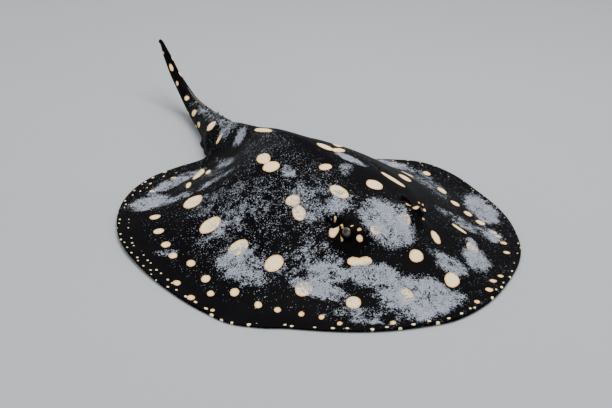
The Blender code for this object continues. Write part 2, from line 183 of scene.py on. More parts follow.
def at_bearing(bearing, radius):
    """Plan position at a bearing in degrees and a distance from the origin."""
    a = np.radians(bearing)
    return radius * np.sin(a), -radius * np.cos(a)


def unit(vectors):
    """Vectors, one per row, made one long."""
    return vectors / np.linalg.norm(vectors, axis=-1, keepdims=True)


def turned(x, y, turn):
    """Places measured along and across a direction that is turned by some degrees."""
    a = math.radians(turn)
    return x * math.cos(a) + y * math.sin(a), y * math.cos(a) - x * math.sin(a)


def ring(centre, across, along, turn, count):
    """Points round an ellipse."""
    a = np.linspace(0, 2 * math.pi, count, endpoint=False)
    return centre + np.stack(turned(across * np.cos(a), along * np.sin(a), -turn), -1)


# ---- surface of the back and belly ----
JOIN_BEARING = 173.0      # the tail's sides meet the disc margin here
JOIN_Y = DISC_RADIUS * math.cos(math.radians(180 - JOIN_BEARING))
JOIN_HALF = DISC_RADIUS * math.sin(math.radians(180 - JOIN_BEARING))


def margin_lift(x, y):
    """How far the fin is raised off the floor."""
    lift = by_side(bearing_of(x, y), LIFT_LEFT, LIFT_RIGHT)
    return np.maximum(lift, 0) * rise(radius_share(x, y), LIFT_STARTS, 1)


def dome_height(x, y):
    """Height of the plain dome of the disc."""
    share = np.minimum(radius_share(x, y), 1.0)
    y = y - DOME_BACK * (1 - share ** 2)
    share = np.minimum(radius_share(x, y), 1.0)
    return MARGIN + (DOME_HEIGHT - MARGIN) * (1 + np.cos(math.pi * share)) / 2


def back_height(x, y):
    """Height of the top surface over a point of the disc."""
    ridge = np.maximum(through(RIDGE, y) - dome_height(0.0 * y, y), 0.0)
    z = dome_height(x, y) + ridge * bell(x, through(RIDGE_WIDTH, y))
    for side in (-1, 1):
        away = np.hypot(x - side * EYE_X, y - EYE_Y) / EYE_MOUND_RADIUS
        z = z + EYE_MOUND_HEIGHT * np.maximum(1 - away ** 2, 0) ** 2
    return z + margin_lift(x, y)


def edge_gap(x, y):
    """Distance in from the free margin of the disc; the tail's root isn't free."""
    gap = np.maximum(disc_radius(bearing_of(x, y)) - np.hypot(x, y), 0.0)
    inside = np.where(y > 0, np.maximum(JOIN_HALF - abs(x), 0.0), 0.0)
    return np.hypot(gap, inside)


EDGE_ROUND, EDGE_THICK_ROUND = 0.0015, 0.25     # reach of the rounding, and more by thickness
SWELLS_INSIDE = 0.012                           # swellings die out this far inside the margin


def rounded(x, y):
    """Heights of back and belly with the margin rounded off between them."""
    top, bottom = back_height(x, y), margin_lift(x, y)
    reach = EDGE_ROUND + EDGE_THICK_ROUND * (top - bottom)
    level = np.sqrt(1 - (1 - np.clip(edge_gap(x, y) / reach, 0, 1)) ** 2)
    middle, half = (top + bottom) / 2, (top - bottom) / 2 * level
    return middle + half, middle - half


# ---- eyes and openings ----
LID = 0.0009                            # thickness of the skin over the eyeball
LID_EDGE, LID_ROLL = 0.0046, 0.0042     # the lid's rim in plan, and where it rolls in behind it
LID_HUG, LID_REACH = 0.0068, 0.0116     # the skin hugs the ball to here, and leaves it there
LID_OPEN, LID_OUTWARD, LID_OVAL = 43, 9, 8     # degrees off the gaze, and what widens them
LID_SHUT = 112                          # degrees off the gaze where the skin leaves the ball
CREASE_AT, CREASE_WIDTH, CREASE_DEEP = 0.0062, 0.0005, 0.00035
BALL_CLEAR = 0.0001
EYE_GAZE = (0.74, -0.16, 0.65)
SPIRACLE_RIM, SPIRACLE_FORWARD = 0.0009, 0.004


def eye_centre(side):
    """Middle of an eyeball; side is 1 for the left eye and -1 for the right one."""
    x = np.array(side * (EYE_X + EYE_OUT))
    return np.array((x, EYE_Y, float(back_height(x, np.array(EYE_Y))) - EYE_RADIUS * EYE_SUNK))


def eye_axes(side):
    """The eye's own two cross directions, and the way it looks."""
    gaze = unit(np.array((side, 1, 1)) * EYE_GAZE)
    across = unit(np.array((1.0, 0, 0)) - gaze[0] * gaze)
    return across, np.cross(gaze, across), gaze


def wrap_eye(points, plan, side):
    """Draw the skin over an eyeball, round its lids and behind it."""
    centre, (across, along, gaze) = eye_centre(side), eye_axes(side)
    offset = plan - centre[:2]
    away = np.hypot(*offset.T)
    near = away < LID_REACH
    away, turn = away[near], np.arctan2(offset[near, 1], offset[near, 0])
    outer = np.cos(turn) * side
    opening = np.radians(LID_OPEN + LID_OUTWARD * outer + LID_OVAL * np.sin(turn) ** 2)
    shut = np.radians(LID_SHUT)
    angle = opening + (shut - opening) * np.clip((away - LID_EDGE) / (LID_REACH - LID_EDGE), 0, 1)
    behind = np.clip(1 - away / LID_ROLL, 0, 1)
    angle = np.where(away < LID_ROLL, opening + (math.pi - opening) * behind, angle)
    roll = rise(away, LID_ROLL, LID_EDGE)
    crease = CREASE_DEEP * bell(away - CREASE_AT, CREASE_WIDTH)
    radius = EYE_RADIUS + BALL_CLEAR + LID * roll - crease
    sideways = np.cos(turn)[:, None] * across + np.sin(turn)[:, None] * along
    hugging = centre + radius[:, None] * (np.cos(angle)[:, None] * gaze
                                          + np.sin(angle)[:, None] * sideways)
    share = rise(away, LID_REACH, LID_HUG)[:, None]
    points[near] = points[near] * (1 - share) + hugging * share


def sink_spiracle(points, plan, side):
    """Hollow out a breathing hole behind an eye, with a soft raised rim."""
    x, y = (plan - (side * SPIRACLE_X, SPIRACLE_Y)).T
    across, along = turned(x, y, side * SPIRACLE_TURN)
    away = np.hypot(across / SPIRACLE_ACROSS, along / SPIRACLE_ALONG)
    depth = SPIRACLE_DEEP * rise(away, 1.02, 0.6)
    rim = SPIRACLE_RIM * bell(away - 1.16, 0.13)
    points[:, 2] += rim - depth
    forward = SPIRACLE_FORWARD * rise(away, 0.9, 0)
    points[:, 1] -= forward
    points[:, 0] -= side * forward * 0.6


# Hollows of the belly: across, behind, half length, half width, depth, turn in degrees.
BELLY_HOLLOWS = [(0.0, -0.148, 0.018, 0.0024, 0.0034, 0),
                 (0.0, -0.1435, 0.015, 0.0012, 0.0010, 0),
                 (0.0, 0.168, 0.0034, 0.0090, 0.0026, 0)]
for _side in (-1, 1):
    BELLY_HOLLOWS.append((_side * 0.0135, -0.158, 0.0040, 0.0022, 0.0030, _side * -30))
    BELLY_HOLLOWS.append((_side * 0.0165, -0.1525, 0.0050, 0.0010, 0.0010, _side * 62))
    for _k in range(5):
        BELLY_HOLLOWS.append((_side * (0.046 - 0.0015 * _k), -0.108 + 0.0165 * _k, 0.0065,
                              0.0013, 0.0024, _side * (18 - 7.5 * _k)))


def belly_hollow(plan):
    """Depth of mouth, nostrils, gill slits and vent, cut up into the flat underside."""
    deep = np.zeros(len(plan))
    for x, y, half_length, half_width, depth, turn in BELLY_HOLLOWS:
        along, across = turned(*(plan - (x, y)).T, turn)
        bend = 0.10 * along ** 2 / half_length
        away = np.hypot(along / half_length, (across - bend) / half_width)
        deep = np.maximum(deep, depth * rise(away, 1.15, 0.25))
    return deep


# Heights of the low swellings of the back; a hollow is less than nothing.
RAY_SWELL, SPINE_SWELL, GIRDLE_SWELL = 0.00005, 0.0010, 0.0012
FLANK_SWELL, BROW_SWELL = -0.0012, -0.0016
FIN_RAYS = 74             # ridges of fin rays, counted once round the disc


def body_swell(x, y):
    """Low swellings and hollows that muscle, gristle and rays leave in a ray's back."""
    share = radius_share(x, y)
    fin = rise(share, 0.35, 0.55) * rise(share, 0.97, 0.82)
    rays = RAY_SWELL * np.sin(np.radians(bearing_of(x, y)) * FIN_RAYS) * fin
    spine = SPINE_SWELL * bell(x, 0.006) * rise(y, -0.05, 0)
    spine = spine * rise(y, 0.21, 0.16)
    flank = FLANK_SWELL * bell(abs(x) - 0.019, 0.010) * rise(y, 0.02, 0.08)
    flank = flank * rise(y, 0.21, 0.17)
    brow = BROW_SWELL * bell(x, 0.016) * bell(y + 0.098, 0.020)
    girdle = GIRDLE_SWELL * bell(np.hypot(x * 0.8, y + 0.035) - 0.060, 0.010)
    girdle = girdle * rise(y, 0.03, -0.02) * rise(abs(x), 0.02, 0.04)
    return rays + spine + flank + brow + girdle


def lay_back(plan):
    """Points of the top sheet over plan positions."""
    x, y = plan.T
    top, _ = rounded(x, y)
    inward = rise(edge_gap(x, y), 0, SWELLS_INSIDE)
    points = np.stack((x, y, top + body_swell(x, y) * inward), -1)
    for side in (-1, 1):
        wrap_eye(points, plan, side)
        sink_spiracle(points, plan, side)
    return points


def lay_belly(plan):
    """Points of the bottom sheet over plan positions."""
    x, y = plan.T
    _, bottom = rounded(x, y)
    return np.stack((x, y, bottom + belly_hollow(plan)), -1)


# ---- tail ----
def tail_line(y):
    """Middle, half width and half height of the tail at distances behind the origin."""
    stations = np.array(TAIL)
    side, height, half_width, half_height = (through(stations[:, (0, k)], y)
                                             for k in range(1, 5))
    return np.stack((side, y, height), -1), half_width, half_height


def tail_axes(y):
    """The tail's own right and up directions."""
    along = unit(tail_line(y + 0.002)[0] - tail_line(y - 0.002)[0])
    across = unit(np.cross(along, (0.0, 0.0, 1.0)))
    return across, unit(np.cross(across, along))


def ring_angles():
    """Directions of the points of one tail section, and each one's place in a fold, or 9."""
    side = list(np.arange(0, 78, 6.5))
    top = side + [81, 85.5, 90, 94.5, 99] + [180 - a for a in side[::-1]]
    low = [3.0 * k for k in range(1, 21)] + [65.0, 70.0, 75.5]
    bottom = [180 + a for a in low] + [261, 265.5, 270, 274.5, 279] + [360 - a for a in low[::-1]]
    angles = np.array(top + bottom, dtype=float)
    fold = np.full(len(angles), 9)
    fold[len(side):len(side) + 5] = range(-2, 3)
    start = len(top) + len(low)
    fold[start:start + 5] = range(-2, 3)
    return angles, fold, len(top)


ANGLES, FOLD_PLACE, TOP_COUNT = ring_angles()


def fold_height(y, limits):
    """Height of a fin fold of the tail."""
    start, end, height = limits
    share = np.clip((y - start) / (end - start), 0, 1)
    return height * np.sin(math.pi * share) ** 0.6


def tail_sections(y):
    """Points of the tail's sections at distances behind the origin: one row for each."""
    middle, half_width, half_height = (v[:, None] for v in tail_line(y))
    across, up = (v[:, None, :] for v in tail_axes(y))
    wide = np.cos(np.radians(ANGLES))[None] + 0 * half_width
    tall = np.sin(np.radians(ANGLES))[None] + 0 * half_width
    flat = 1 - rise(y, TAIL_FLAT_TO, TAIL_ROUND_FROM)[:, None]
    power = 1 - 0.5 * flat
    under = tall < -0.01
    wide = np.where(under, np.sign(wide) * abs(wide) ** power, wide)
    tall = np.where(under, -np.minimum(abs(tall) ** power * (1 + 0.05 * flat), 1.0), tall)
    narrow = rise(y, *FOLD_NARROWS)[:, None]
    for upper, limits in ((True, FOLD_UPPER), (False, FOLD_LOWER)):
        in_fold = (FOLD_PLACE < 9) & ((ANGLES < 180) == upper)
        place = FOLD_PLACE[in_fold]
        thin = np.array((1.3, 0.7, 0.0, -0.7, -1.3))[place + 2] * FOLD_THICKNESS / 2
        if not upper:
            thin = -thin
        extra = np.array((0.0, 0.86, 1.0, 0.86, 0.0))[place + 2] * fold_height(y, limits)[:, None]
        share = wide[:, in_fold] * (1 - narrow) + thin / half_width * narrow
        wide[:, in_fold] = share
        height = np.sqrt(np.maximum(1 - share ** 2, 0)) + extra / half_height
        height = height if upper else -height
        tall[:, in_fold] = tall[:, in_fold] * (1 - narrow) + height * narrow
    return (middle + across * (half_width * wide)[..., None]
            + up * (half_height * tall)[..., None])


def spread_pelvic_fins(points, y):
    """Draw the lower corners of the tail's root out into two small flat fins."""
    width = np.maximum(through(PELVIC_WIDTH, y), 0)[:, None]
    for side, corner in ((1, 360 - PELVIC_CORNER), (-1, 180 + PELVIC_CORNER)):
        near = abs(ANGLES - corner) < PELVIC_SPREAD
        reach = 1 - abs(ANGLES[near] - corner) / PELVIC_SPREAD
        above = (ANGLES[near] - corner) * side > 0
        level = PELVIC_THICK + (PELVIC_EDGE - PELVIC_THICK) * reach
        target = np.where(above, level, 0.0)
        target = np.where(reach > 0.93, PELVIC_EDGE / 2, target)
        share = ease(width / 0.004) * ease(reach * 2.2)[None]
        drawn = points[:, near]
        drawn[..., 2] += (target[None] - drawn[..., 2]) * share
        drawn[..., 0] += side * width * ease(reach)[None]
        drawn[..., 1] += PELVIC_SWEEP * ease(width / 0.010) * reach[None]
        points[:, near] = drawn


# ---- plan of the sheets ----
BACK_STEP, HEAD_STEP, BELLY_STEP, DETAIL_STEP = 0.0022, 0.0013, 0.0034, 0.0010
MARGIN_RINGS = (0.00035, 0.0009, 0.0017, 0.0029)
TAIL_STEP = 0.0022
DISC_BOX = (-0.24, 0.24, -0.22)
HEAD_BOX = (-0.078, 0.078, -0.132, -0.050)
SMOOTH_ALONG, SMOOTH_ACROSS, SMOOTH_PASSES = (0.016, 0.004), (0.046, 0.036), 14
MOUTH_BOX = (-0.026, 0.026, -0.168, -0.138)
GILL_BOXES = ((0.030, 0.056, -0.118, -0.032), (-0.056, -0.030, -0.118, -0.032))
VENT_BOX = (-0.008, 0.008, 0.155, 0.181)
RING_MOST, RING_LEAST, RING_GROWS = 56, 8, 12000     # points in a ring, and for a metre of radius
# Radii of the rings of points round an eye, and of those round a breathing hole as shares of it.
EYE_RINGS = (0.0007, 0.0015, 0.0023, 0.0031, 0.0038, LID_ROLL, 0.00435, LID_EDGE, 0.0049, 0.0053,
             0.0057, 0.0061, 0.0065, 0.0071, 0.0078, 0.0086, 0.0095, 0.0105, 0.0116)
SPIRACLE_RINGS = (0.25, 0.45, 0.58, 0.68, 0.76, 0.84, 0.91, 0.97, 1.03, 1.09, 1.16, 1.24, 1.34,
                  1.46)


def margin_points(inset=0.0):
    """Points along the disc margin from the tail's left side round the snout to its right."""
    count = round(2 * math.pi * DISC_RADIUS / BACK_STEP)
    bearing = np.linspace(JOIN_BEARING, -JOIN_BEARING, count)
    return np.stack(at_bearing(bearing, disc_radius(bearing) - inset), -1)


def lattice(step, box=None):
    """A triangular lattice inside the disc, or inside a box of it."""
    x0, x1, y0, y1 = box or (*DISC_BOX, JOIN_Y - step * 0.6)
    rows = []
    for k, y in enumerate(np.arange(y0, y1, step * math.sqrt(3) / 2)):
        x = np.arange(x0 + step / 2 * (k % 2), x1, step)
        rows.append(np.stack((x, np.full(len(x), y)), -1))
    grid = np.concatenate(rows)
    x, y = grid.T
    inside = disc_radius(bearing_of(x, y)) - np.hypot(x, y) > max(step * 0.5, 0.0034)
    return grid[inside]


def eye_rings(side):
    """Rings of plan points round an eye, close together at its lids."""
    centre = eye_centre(side)[:2]
    rings = [ring(centre, r, r, 0, max(RING_LEAST, min(RING_MOST, int(r * RING_GROWS))))
             for r in EYE_RINGS]
    return np.concatenate([centre[None]] + rings)


def spiracle_rings(side):
    """Rings of plan points round a breathing hole."""
    centre = np.array((side * SPIRACLE_X, SPIRACLE_Y))
    rings = [ring(centre, SPIRACLE_ACROSS * s, SPIRACLE_ALONG * s, side * SPIRACLE_TURN,
                  max(RING_LEAST, int(RING_MOST * min(s, 1)))) for s in SPIRACLE_RINGS]
    return np.concatenate([centre[None]] + rings)


def gather(fixed, sets):
    """Fixed points first, then from each set those that keep its distance from all before."""
    kept = fixed
    for points, distance in sets:
        tree = kdtree.KDTree(len(kept))
        for index, (x, y) in enumerate(kept):
            tree.insert((x, y, 0), index)
        tree.balance()
        clear = [tree.find((x, y, 0))[2] > distance for x, y in points]
        kept = np.concatenate((kept, points[np.array(clear)]))
    return kept


def double_area(plan, corners):
    """Twice the area of triangles of plan points, less than nothing where they run clockwise."""
    a, b, c = (plan[corners[:, k]] for k in range(3))
    return np.cross(b - a, c - a)


def triangles(plan, loop):
    """Triangles over plan points inside their outer loop, counter-clockwise."""
    edges = [(loop[k], loop[(k + 1) % len(loop)]) for k in range(len(loop))]
    coords = [Vector((x * 1000, y * 1000)) for x, y in plan]
    made = geometry.delaunay_2d_cdt(coords, edges, [], 1, 1e-5, True)
    if len(made[0]) != len(plan):
        raise RuntimeError("the plan points don't mesh one to one")
    origin = [ids[0] for ids in made[3]]
    faces = np.array([[origin[v] for v in face] for face in made[2]])
    slivers = (faces < len(loop)).all(axis=1) & (double_area(plan, np.sort(faces, axis=1)) > -1e-9)
    faces = faces[~slivers]
    clockwise = double_area(plan, faces) < 0
    faces[clockwise] = faces[clockwise][:, ::-1]
    return faces


def strip(rows):
    """Quads between closed rows of point numbers."""
    after = np.roll(rows, -1, axis=1)
    return np.stack((rows[:-1], rows[1:], after[1:], after[:-1]), -1).reshape(-1, 4)


def fan(row, pole):
    """Triangles from a closed row of point numbers to the point after it."""
    return np.stack((row, np.full(len(row), pole), np.roll(row, -1)), -1)


def tube(rows, first, last):
    """Groups of faces of a tube that is closed by a point at each end."""
    return strip(rows), fan(rows[0], first)[:, ::-1], fan(rows[-1], last)


class SkinMesh:
    """Vertices, faces and islands of the whole skin while it is put together."""

    def __init__(self):
        margin = margin_points()
        corner = tail_sections(np.array((JOIN_Y,)))[0]
        half = corner[:, 0] - tail_line(np.array((JOIN_Y,)))[0][0, 0]
        half = half / abs(half).max() * JOIN_HALF
        chord = np.stack((half, np.full(len(half), JOIN_Y)), -1)
        top_chord, low_chord = chord[1:TOP_COUNT - 1], chord[TOP_COUNT:]
        inner = [(margin_points(inset), BACK_STEP * 0.12) for inset in MARGIN_RINGS]
        back_sets = ([(eye_rings(s), 0.0) for s in (-1, 1)]
                     + [(spiracle_rings(s), 0.0006) for s in (-1, 1)] + inner
                     + [(lattice(HEAD_STEP, HEAD_BOX), HEAD_STEP * 0.72),
                        (lattice(BACK_STEP), BACK_STEP * 0.72)])
        belly_sets = (inner + [(lattice(DETAIL_STEP, box), DETAIL_STEP * 0.72)
                               for box in (MOUTH_BOX, VENT_BOX) + GILL_BOXES]
                      + [(lattice(BELLY_STEP), BELLY_STEP * 0.72)])
        back = gather(np.concatenate((margin, top_chord[::-1])), back_sets)
        belly = gather(np.concatenate((margin, low_chord)), belly_sets)
        n_margin, n_top, n_low = len(margin), len(top_chord), len(low_chord)
        back_faces = triangles(back, list(range(n_margin + n_top)))
        belly_faces = triangles(belly, list(range(n_margin + n_low)))[:, ::-1]
        belly_index = np.concatenate((np.arange(n_margin),
                                      len(back) + np.arange(len(belly) - n_margin)))
        self.points = np.concatenate((lay_back(back), lay_belly(belly)[n_margin:]))
        self.plan = np.concatenate((back, belly[n_margin:]))
        self.back_faces, self.belly_faces = back_faces, belly_index[belly_faces]
        self.back_count = len(back)
        first = np.concatenate(((0,), n_margin + np.arange(n_top)[::-1], (n_margin - 1,),
                                len(back) + np.arange(n_low)))
        self.add_tail(first)

    def add_tail(self, first):
        """Sections from the disc's chord to the tip of the tail."""
        count = round((TAIL_END - JOIN_Y) / TAIL_STEP)
        y = np.linspace(JOIN_Y, TAIL_END, count + 1)[1:]
        sections = tail_sections(y)
        start = self.points[first]
        blend = (1 - ease((y - JOIN_Y) / TAIL_BLEND))[:, None, None]
        fall = (through(RIDGE, y) / through(RIDGE, JOIN_Y))[:, None]
        trunk = np.stack(np.broadcast_arrays(start[:, 0], y[:, None], start[:, 2] * fall), -1)
        sections = sections * (1 - blend) + trunk * blend
        spread_pelvic_fins(sections, y)
        tip, half_width, _ = (v[-1] for v in tail_line(y))
        ahead = unit(tip - tail_line(np.array((TAIL_END - 0.004,)))[0][0])
        end = tip + ahead * half_width * 0.9
        cap = sections[-1] + (end - sections[-1]) * 0.45 + ahead * half_width * 0.3
        sections = np.concatenate((sections, cap[None]))
        added = len(self.points) + np.arange(sections[..., 0].size).reshape(-1, len(first))
        self.points = np.concatenate((self.points, sections.reshape(-1, 3), end[None]))
        self.rows = np.concatenate((first[None], added))
        self.tail_faces = strip(self.rows)
        self.tip_faces = fan(self.rows[-1], len(self.points) - 1)
        self.tail_y = np.append(y, TAIL_END)

    def smooth_join(self):
        """Even out the change from disc to tail by drawing points towards their neighbours."""
        edges = np.concatenate([np.stack((f[:, k], f[:, (k + 1) % f.shape[1]]), -1)
                                for f in (self.back_faces, self.belly_faces, self.tail_faces)
                                for k in range(f.shape[1])])
        x, y, _ = self.points.T
        weight = rise(abs(y - JOIN_Y), *SMOOTH_ALONG) * rise(abs(x), *SMOOTH_ACROSS)
        weight = weight[:, None] * 0.5
        for _ in range(SMOOTH_PASSES):
            total, links = np.zeros_like(self.points), np.zeros(len(self.points))
            np.add.at(total, edges[:, 0], self.points[edges[:, 1]])
            np.add.at(links, edges[:, 0], 1)
            mean = total / np.maximum(links, 1)[:, None]
            self.points = self.points + (mean - self.points) * weight * (links > 0)[:, None]
        self.points[:, 2] = np.maximum(self.points[:, 2], 0.0)


# ---- markings ----
# Spots: across, behind, half length, half width, in millimetres, and turn in degrees.
SPOTS = (
    (-134, 23, 11, 10, 0), (-124, 79, 12, 10, 80), (-131, -29, 10, 9, 0), (-115, -70, 10, 8, 10),
    (-106, -110, 8.6, 8, 0), (-76, -149, 7, 7, 0), (-30, -170, 9, 8, 70), (29, -170, 12, 7, 32),
    (6, -140, 9, 6.2, 18), (-17, -102, 6, 5, 0), (20, -101, 7, 6, 0), (-51.5, -115.5, 7, 4, -45),
    (-43, -121, 7, 4, -30), (52, -117, 10, 5, 58), (23, -47, 11, 8, 20),
    (-21, -44, 11.5, 6.5, 105), (-67, -40, 9, 6.5, 75), (-64.5, -24.5, 7.5, 6.5, -30),
    (-12, -6, 7, 5, -20), (-53, 35.5, 10, 7.5, -75), (-49.5, 57, 12, 6.5, 80),
    (13, 31, 11, 6, -80), (25, 21, 10, 5, 15), (42, 46, 17, 6, 52), (62, -31, 14, 5, -52),
    (97, -11, 12, 7, 35), (158, -10, 11, 5.5, 54), (-6, 127, 19, 3.4, 88), (-70, 166, 24, 5, 50),
    (-62, 157, 15, 3, 60), (-101, 133, 12, 3, 60), (96, -128, 9, 6, 60), (-52, -80, 6, 4.6, 60),
    (-42, -68, 1.5, 1.0, 80), (-38, -104.5, 2.9, 2.3, -25), (-45.5, -84, 4, 1.0, 70),
    (-51, -91, 4.5, 1.1, 65), (-43.5, -89, 3, 0.8, 70), (-34.5, -99, 1.5, 1.3, 0),
    (-36, -92, 1.1, 0.9, 0), (34, -88, 2, 1.2, 45), (36, -93, 2, 1.6, 40), (70, -67, 2.2, 1, 40),
    (75, -68, 2.4, 1, 40), (70, -77, 3.2, 1.5, 40), (50, -98, 3.6, 1.6, 50), (104, -98, 9, 3, -60),
    (148, -44, 6.5, 5.4, 54), (148, -66, 6, 4.8, 54), (150, -85, 5.5, 5.5, 54),
    (-17.5, 209, 4.2, 3.0, 0), (88, 42, 11, 8, 40), (66, 92, 10, 7, 60), (118, 76, 11, 8, 70),
    (84, 128, 9, 6, 55), (36, 112, 9, 6, 80), (44, 160, 10, 5, 60), (130, 22, 9, 7, 75),
    (-200, -57, 2.5, 2, 0), (-199, -26, 2.5, 2, 0), (-192, -86, 2, 2, 0),
)
# Rows of middling spots along the sides: share of the radius and size against bearing.
ROW_RIGHT = dict(bearings=(-121, -111, -102, -95, -87, -77, -65, -56, -50, -43, -37),
                 shares=((-121, 0.820), (-111, 0.816), (-102, 0.823), (-95, 0.838), (-87, 0.811),
                         (-77, 0.834), (-65, 0.825), (-50, 0.875), (-36, 0.91)),
                 sizes=((-121, 6.2), (-90, 5.2), (-66, 5.6), (-50, 3.8), (-36, 3.2)))
ROW_LEFT = dict(bearings=(104, 54.5, 52, 48, 42, 117, 131, 145, 158),
                shares=((42, 0.93), (52, 0.89), (60, 0.81), (72, 0.72), (87, 0.745), (104, 0.88),
                        (158, 0.86)),
                sizes=((42, 3.6), (60, 4.8), (72, 6.0), (87, 6.6), (104, 6.0), (158, 6.0)))
ROW_FRONT = dict(bearings=(-71, -74, -32, -17.5, 27, 22.8, 17.6, 9.6, -82, -140, -152),
                 shares=((-152, 0.90), (-140, 0.90), (-82, 0.94), (-74, 0.965), (-71, 0.89),
                         (-32, 0.95), (10, 0.968), (17.6, 0.955), (22.8, 0.940), (27, 0.954)),
                 sizes=((-152, 3.6), (-71, 4.2), (-32, 3.0), (10, 3.2), (17.6, 4.2), (27, 3.2)))

DOT_SPACING, DOT_ROWS = 0.0125, 0.0092     # tiny dots along the disc's margin
FAR_OFF = 30.0                             # millimetres to a spot, where there is none
SPOTS_RUN = 1.2                            # millimetres over which two spots run together
ROW_OVAL = 0.78                            # width of a spot in a row as a share of its length
SAND_LEAST, SHAKEN_OFF = 0.05, 0.93

# Tail spots: distance behind the origin, girth from the ridge (left is positive), half length,
# half girth, in millimetres.
TAIL_SPOTS = ((240, -17, 8, 8), (287, -25.5, 7, 4), (321, -16, 7, 5), (343, -1, 2, 2),
              (363, -8, 5, 3.6), (396, -9, 4, 2), (424, -8, 6, 2.6), (451, -10, 3, 1.6),
              (305, -33, 5, 4), (345, -24, 5, 3),
              (238, 20, 8, 7), (262, 34, 6, 5), (280, 18, 8, 5), (304, 27, 6, 4),
              (326, 14, 6, 4), (348, 20, 5, 3), (366, 10, 5, 3), (390, 14, 4, 2.4),
              (410, 7, 5, 2.4), (438, 8, 4, 2))

# Sand lying on the back: across, behind, half length, half width in millimetres, turn, amount.
SAND = (
    (-10, -190, 36, 13, 0, 1.0), (-32, -166, 28, 20, -20, 0.88), (-43.5, -137, 27, 12, -41, 0.97),
    (-96, -116, 34, 10, -55, 0.88), (0, -178, 21, 16, -50, 1.0), (0, -97, 28, 30, 0, 0.95),
    (-78, -108, 24, 11, -50, 0.68), (-74, -90, 30, 14, -58, 0.45), (-76, -168, 42, 11, -38, 0.40),
    (39, -150, 24, 14, -22, 0.94), (86, -146, 22, 15, 50, 0.95), (100, -124, 13, 7, 60, 0.8),
    (142, -106, 13, 23, 0, 0.75), (178, -56, 40, 18, 62, 1.0), (118, -84, 28, 14, -50, 0.5),
    (26, 2, 20, 8, -50, 0.85), (6, -18, 14, 8, 40, 0.55), (-30, -54, 20, 15, -30, 0.62),
    (-52, -34, 26, 28, 0, 0.38), (-138, -50, 22, 36, 0, 0.50), (-112, 4, 52, 24, 0, 0.34),
    (-46, 14, 6, 14, 0, 0.8), (-96, -84, 28, 18, 0, 0.40), (-108, 50, 36, 30, -30, 0.22),
    (-150, 134, 24, 15, 10, 0.92), (-112, 104, 52, 10, -28, 0.38), (-98, 168, 46, 12, 20, 0.70),
    (-17, 163, 18, 8, 50, 0.90), (-4, 205, 14, 22, 0, 0.55), (-48, 140, 46, 8, 72, 0.60),
    (-66, 130, 20, 30, -30, 0.22), (-185, 26, 14, 6, -40, 0.6), (160, 92, 40, 13, 110, 0.95),
    (112, 122, 44, 12, 125, 0.5), (78, 160, 34, 11, 145, 0.55), (62, 54, 40, 26, 40, 0.16),
    (-84, -12, 84, 92, 0, 0.14), (-34, 96, 56, 60, 0, 0.11), (150, 20, 26, 62, -20, 0.42),
)
# Places the sand has slid off: the same, with the share that is gone.
BARE = (
    (8, -146, 25, 13, 12, 0.97), (-45, -90, 16, 25, 0, 0.97), (50, -84, 18, 24, 0, 0.95),
    (30, -34, 26, 22, 0, 0.95), (92, -30, 44, 30, 40, 0.9), (6, 60, 18, 60, 0, 0.6),
    (62, -108, 16, 22, 0, 0.9), (-31, 152, 9, 34, -8, 0.9),
)


def ellipse_distance(plan, x, y, half_length, half_width, turn):
    """Signed distance in millimetres, about right near the line, from an ellipse."""
    along, across = turned(*(plan / MM - (x, y)).T, turn)
    near = np.hypot(along / half_length, across / half_width)
    steep = np.hypot(along / half_length ** 2, across / half_width ** 2)
    return np.where(near > 0.05, (near - 1) * near / np.maximum(steep, 1e-9), -half_width)


def row_spots(row):
    """Spots of one row as entries like those of SPOTS, lying along the margin."""
    bearings = np.array(row["bearings"], dtype=float)
    places = at_bearing(bearings, disc_radius(bearings) * through(row["shares"], bearings))
    size = through(row["sizes"], bearings)
    return zip(places[0] / MM, places[1] / MM, size, size * ROW_OVAL, 180 - bearings)


def blend_min(a, b, soft):
    """Smaller of two distances, run together softly."""
    h = np.clip(0.5 + (b - a) / (2 * soft), 0, 1)
    return b * (1 - h) + a * h - soft * h * (1 - h)


def spot_field(plan):
    """Distance in millimetres to the edge of the nearest spot of the back."""
    field = np.full(len(plan), FAR_OFF)
    rows = [spot for row in (ROW_RIGHT, ROW_LEFT, ROW_FRONT) for spot in row_spots(row)]
    for spot in (*SPOTS, *rows):
        field = blend_min(field, ellipse_distance(plan, *spot), SPOTS_RUN)
    return field


def patch(plan, x, y, half_length, half_width, turn):
    """1 in the middle of a soft-edged ellipse, 0 outside it."""
    along, across = turned(*(plan / MM - (x, y)).T, turn)
    return 1 - rise(np.hypot(along / half_length, across / half_width), 0.55, 1.3)


def sand_field(plan):
    """Amount of sand on the back."""
    amount = np.full(len(plan), SAND_LEAST)
    for *place, most in SAND:
        amount = np.maximum(amount, most * patch(plan, *place))
    for *place, gone in BARE:
        amount = amount * (1 - gone * patch(plan, *place))
    bearing = bearing_of(*plan.T)
    share = radius_share(*plan.T)
    shaken = rise(share, 0.86, 0.92) * rise(-bearing, 32, 42) * rise(bearing, -128, -118)
    return amount * (1 - SHAKEN_OFF * shaken)


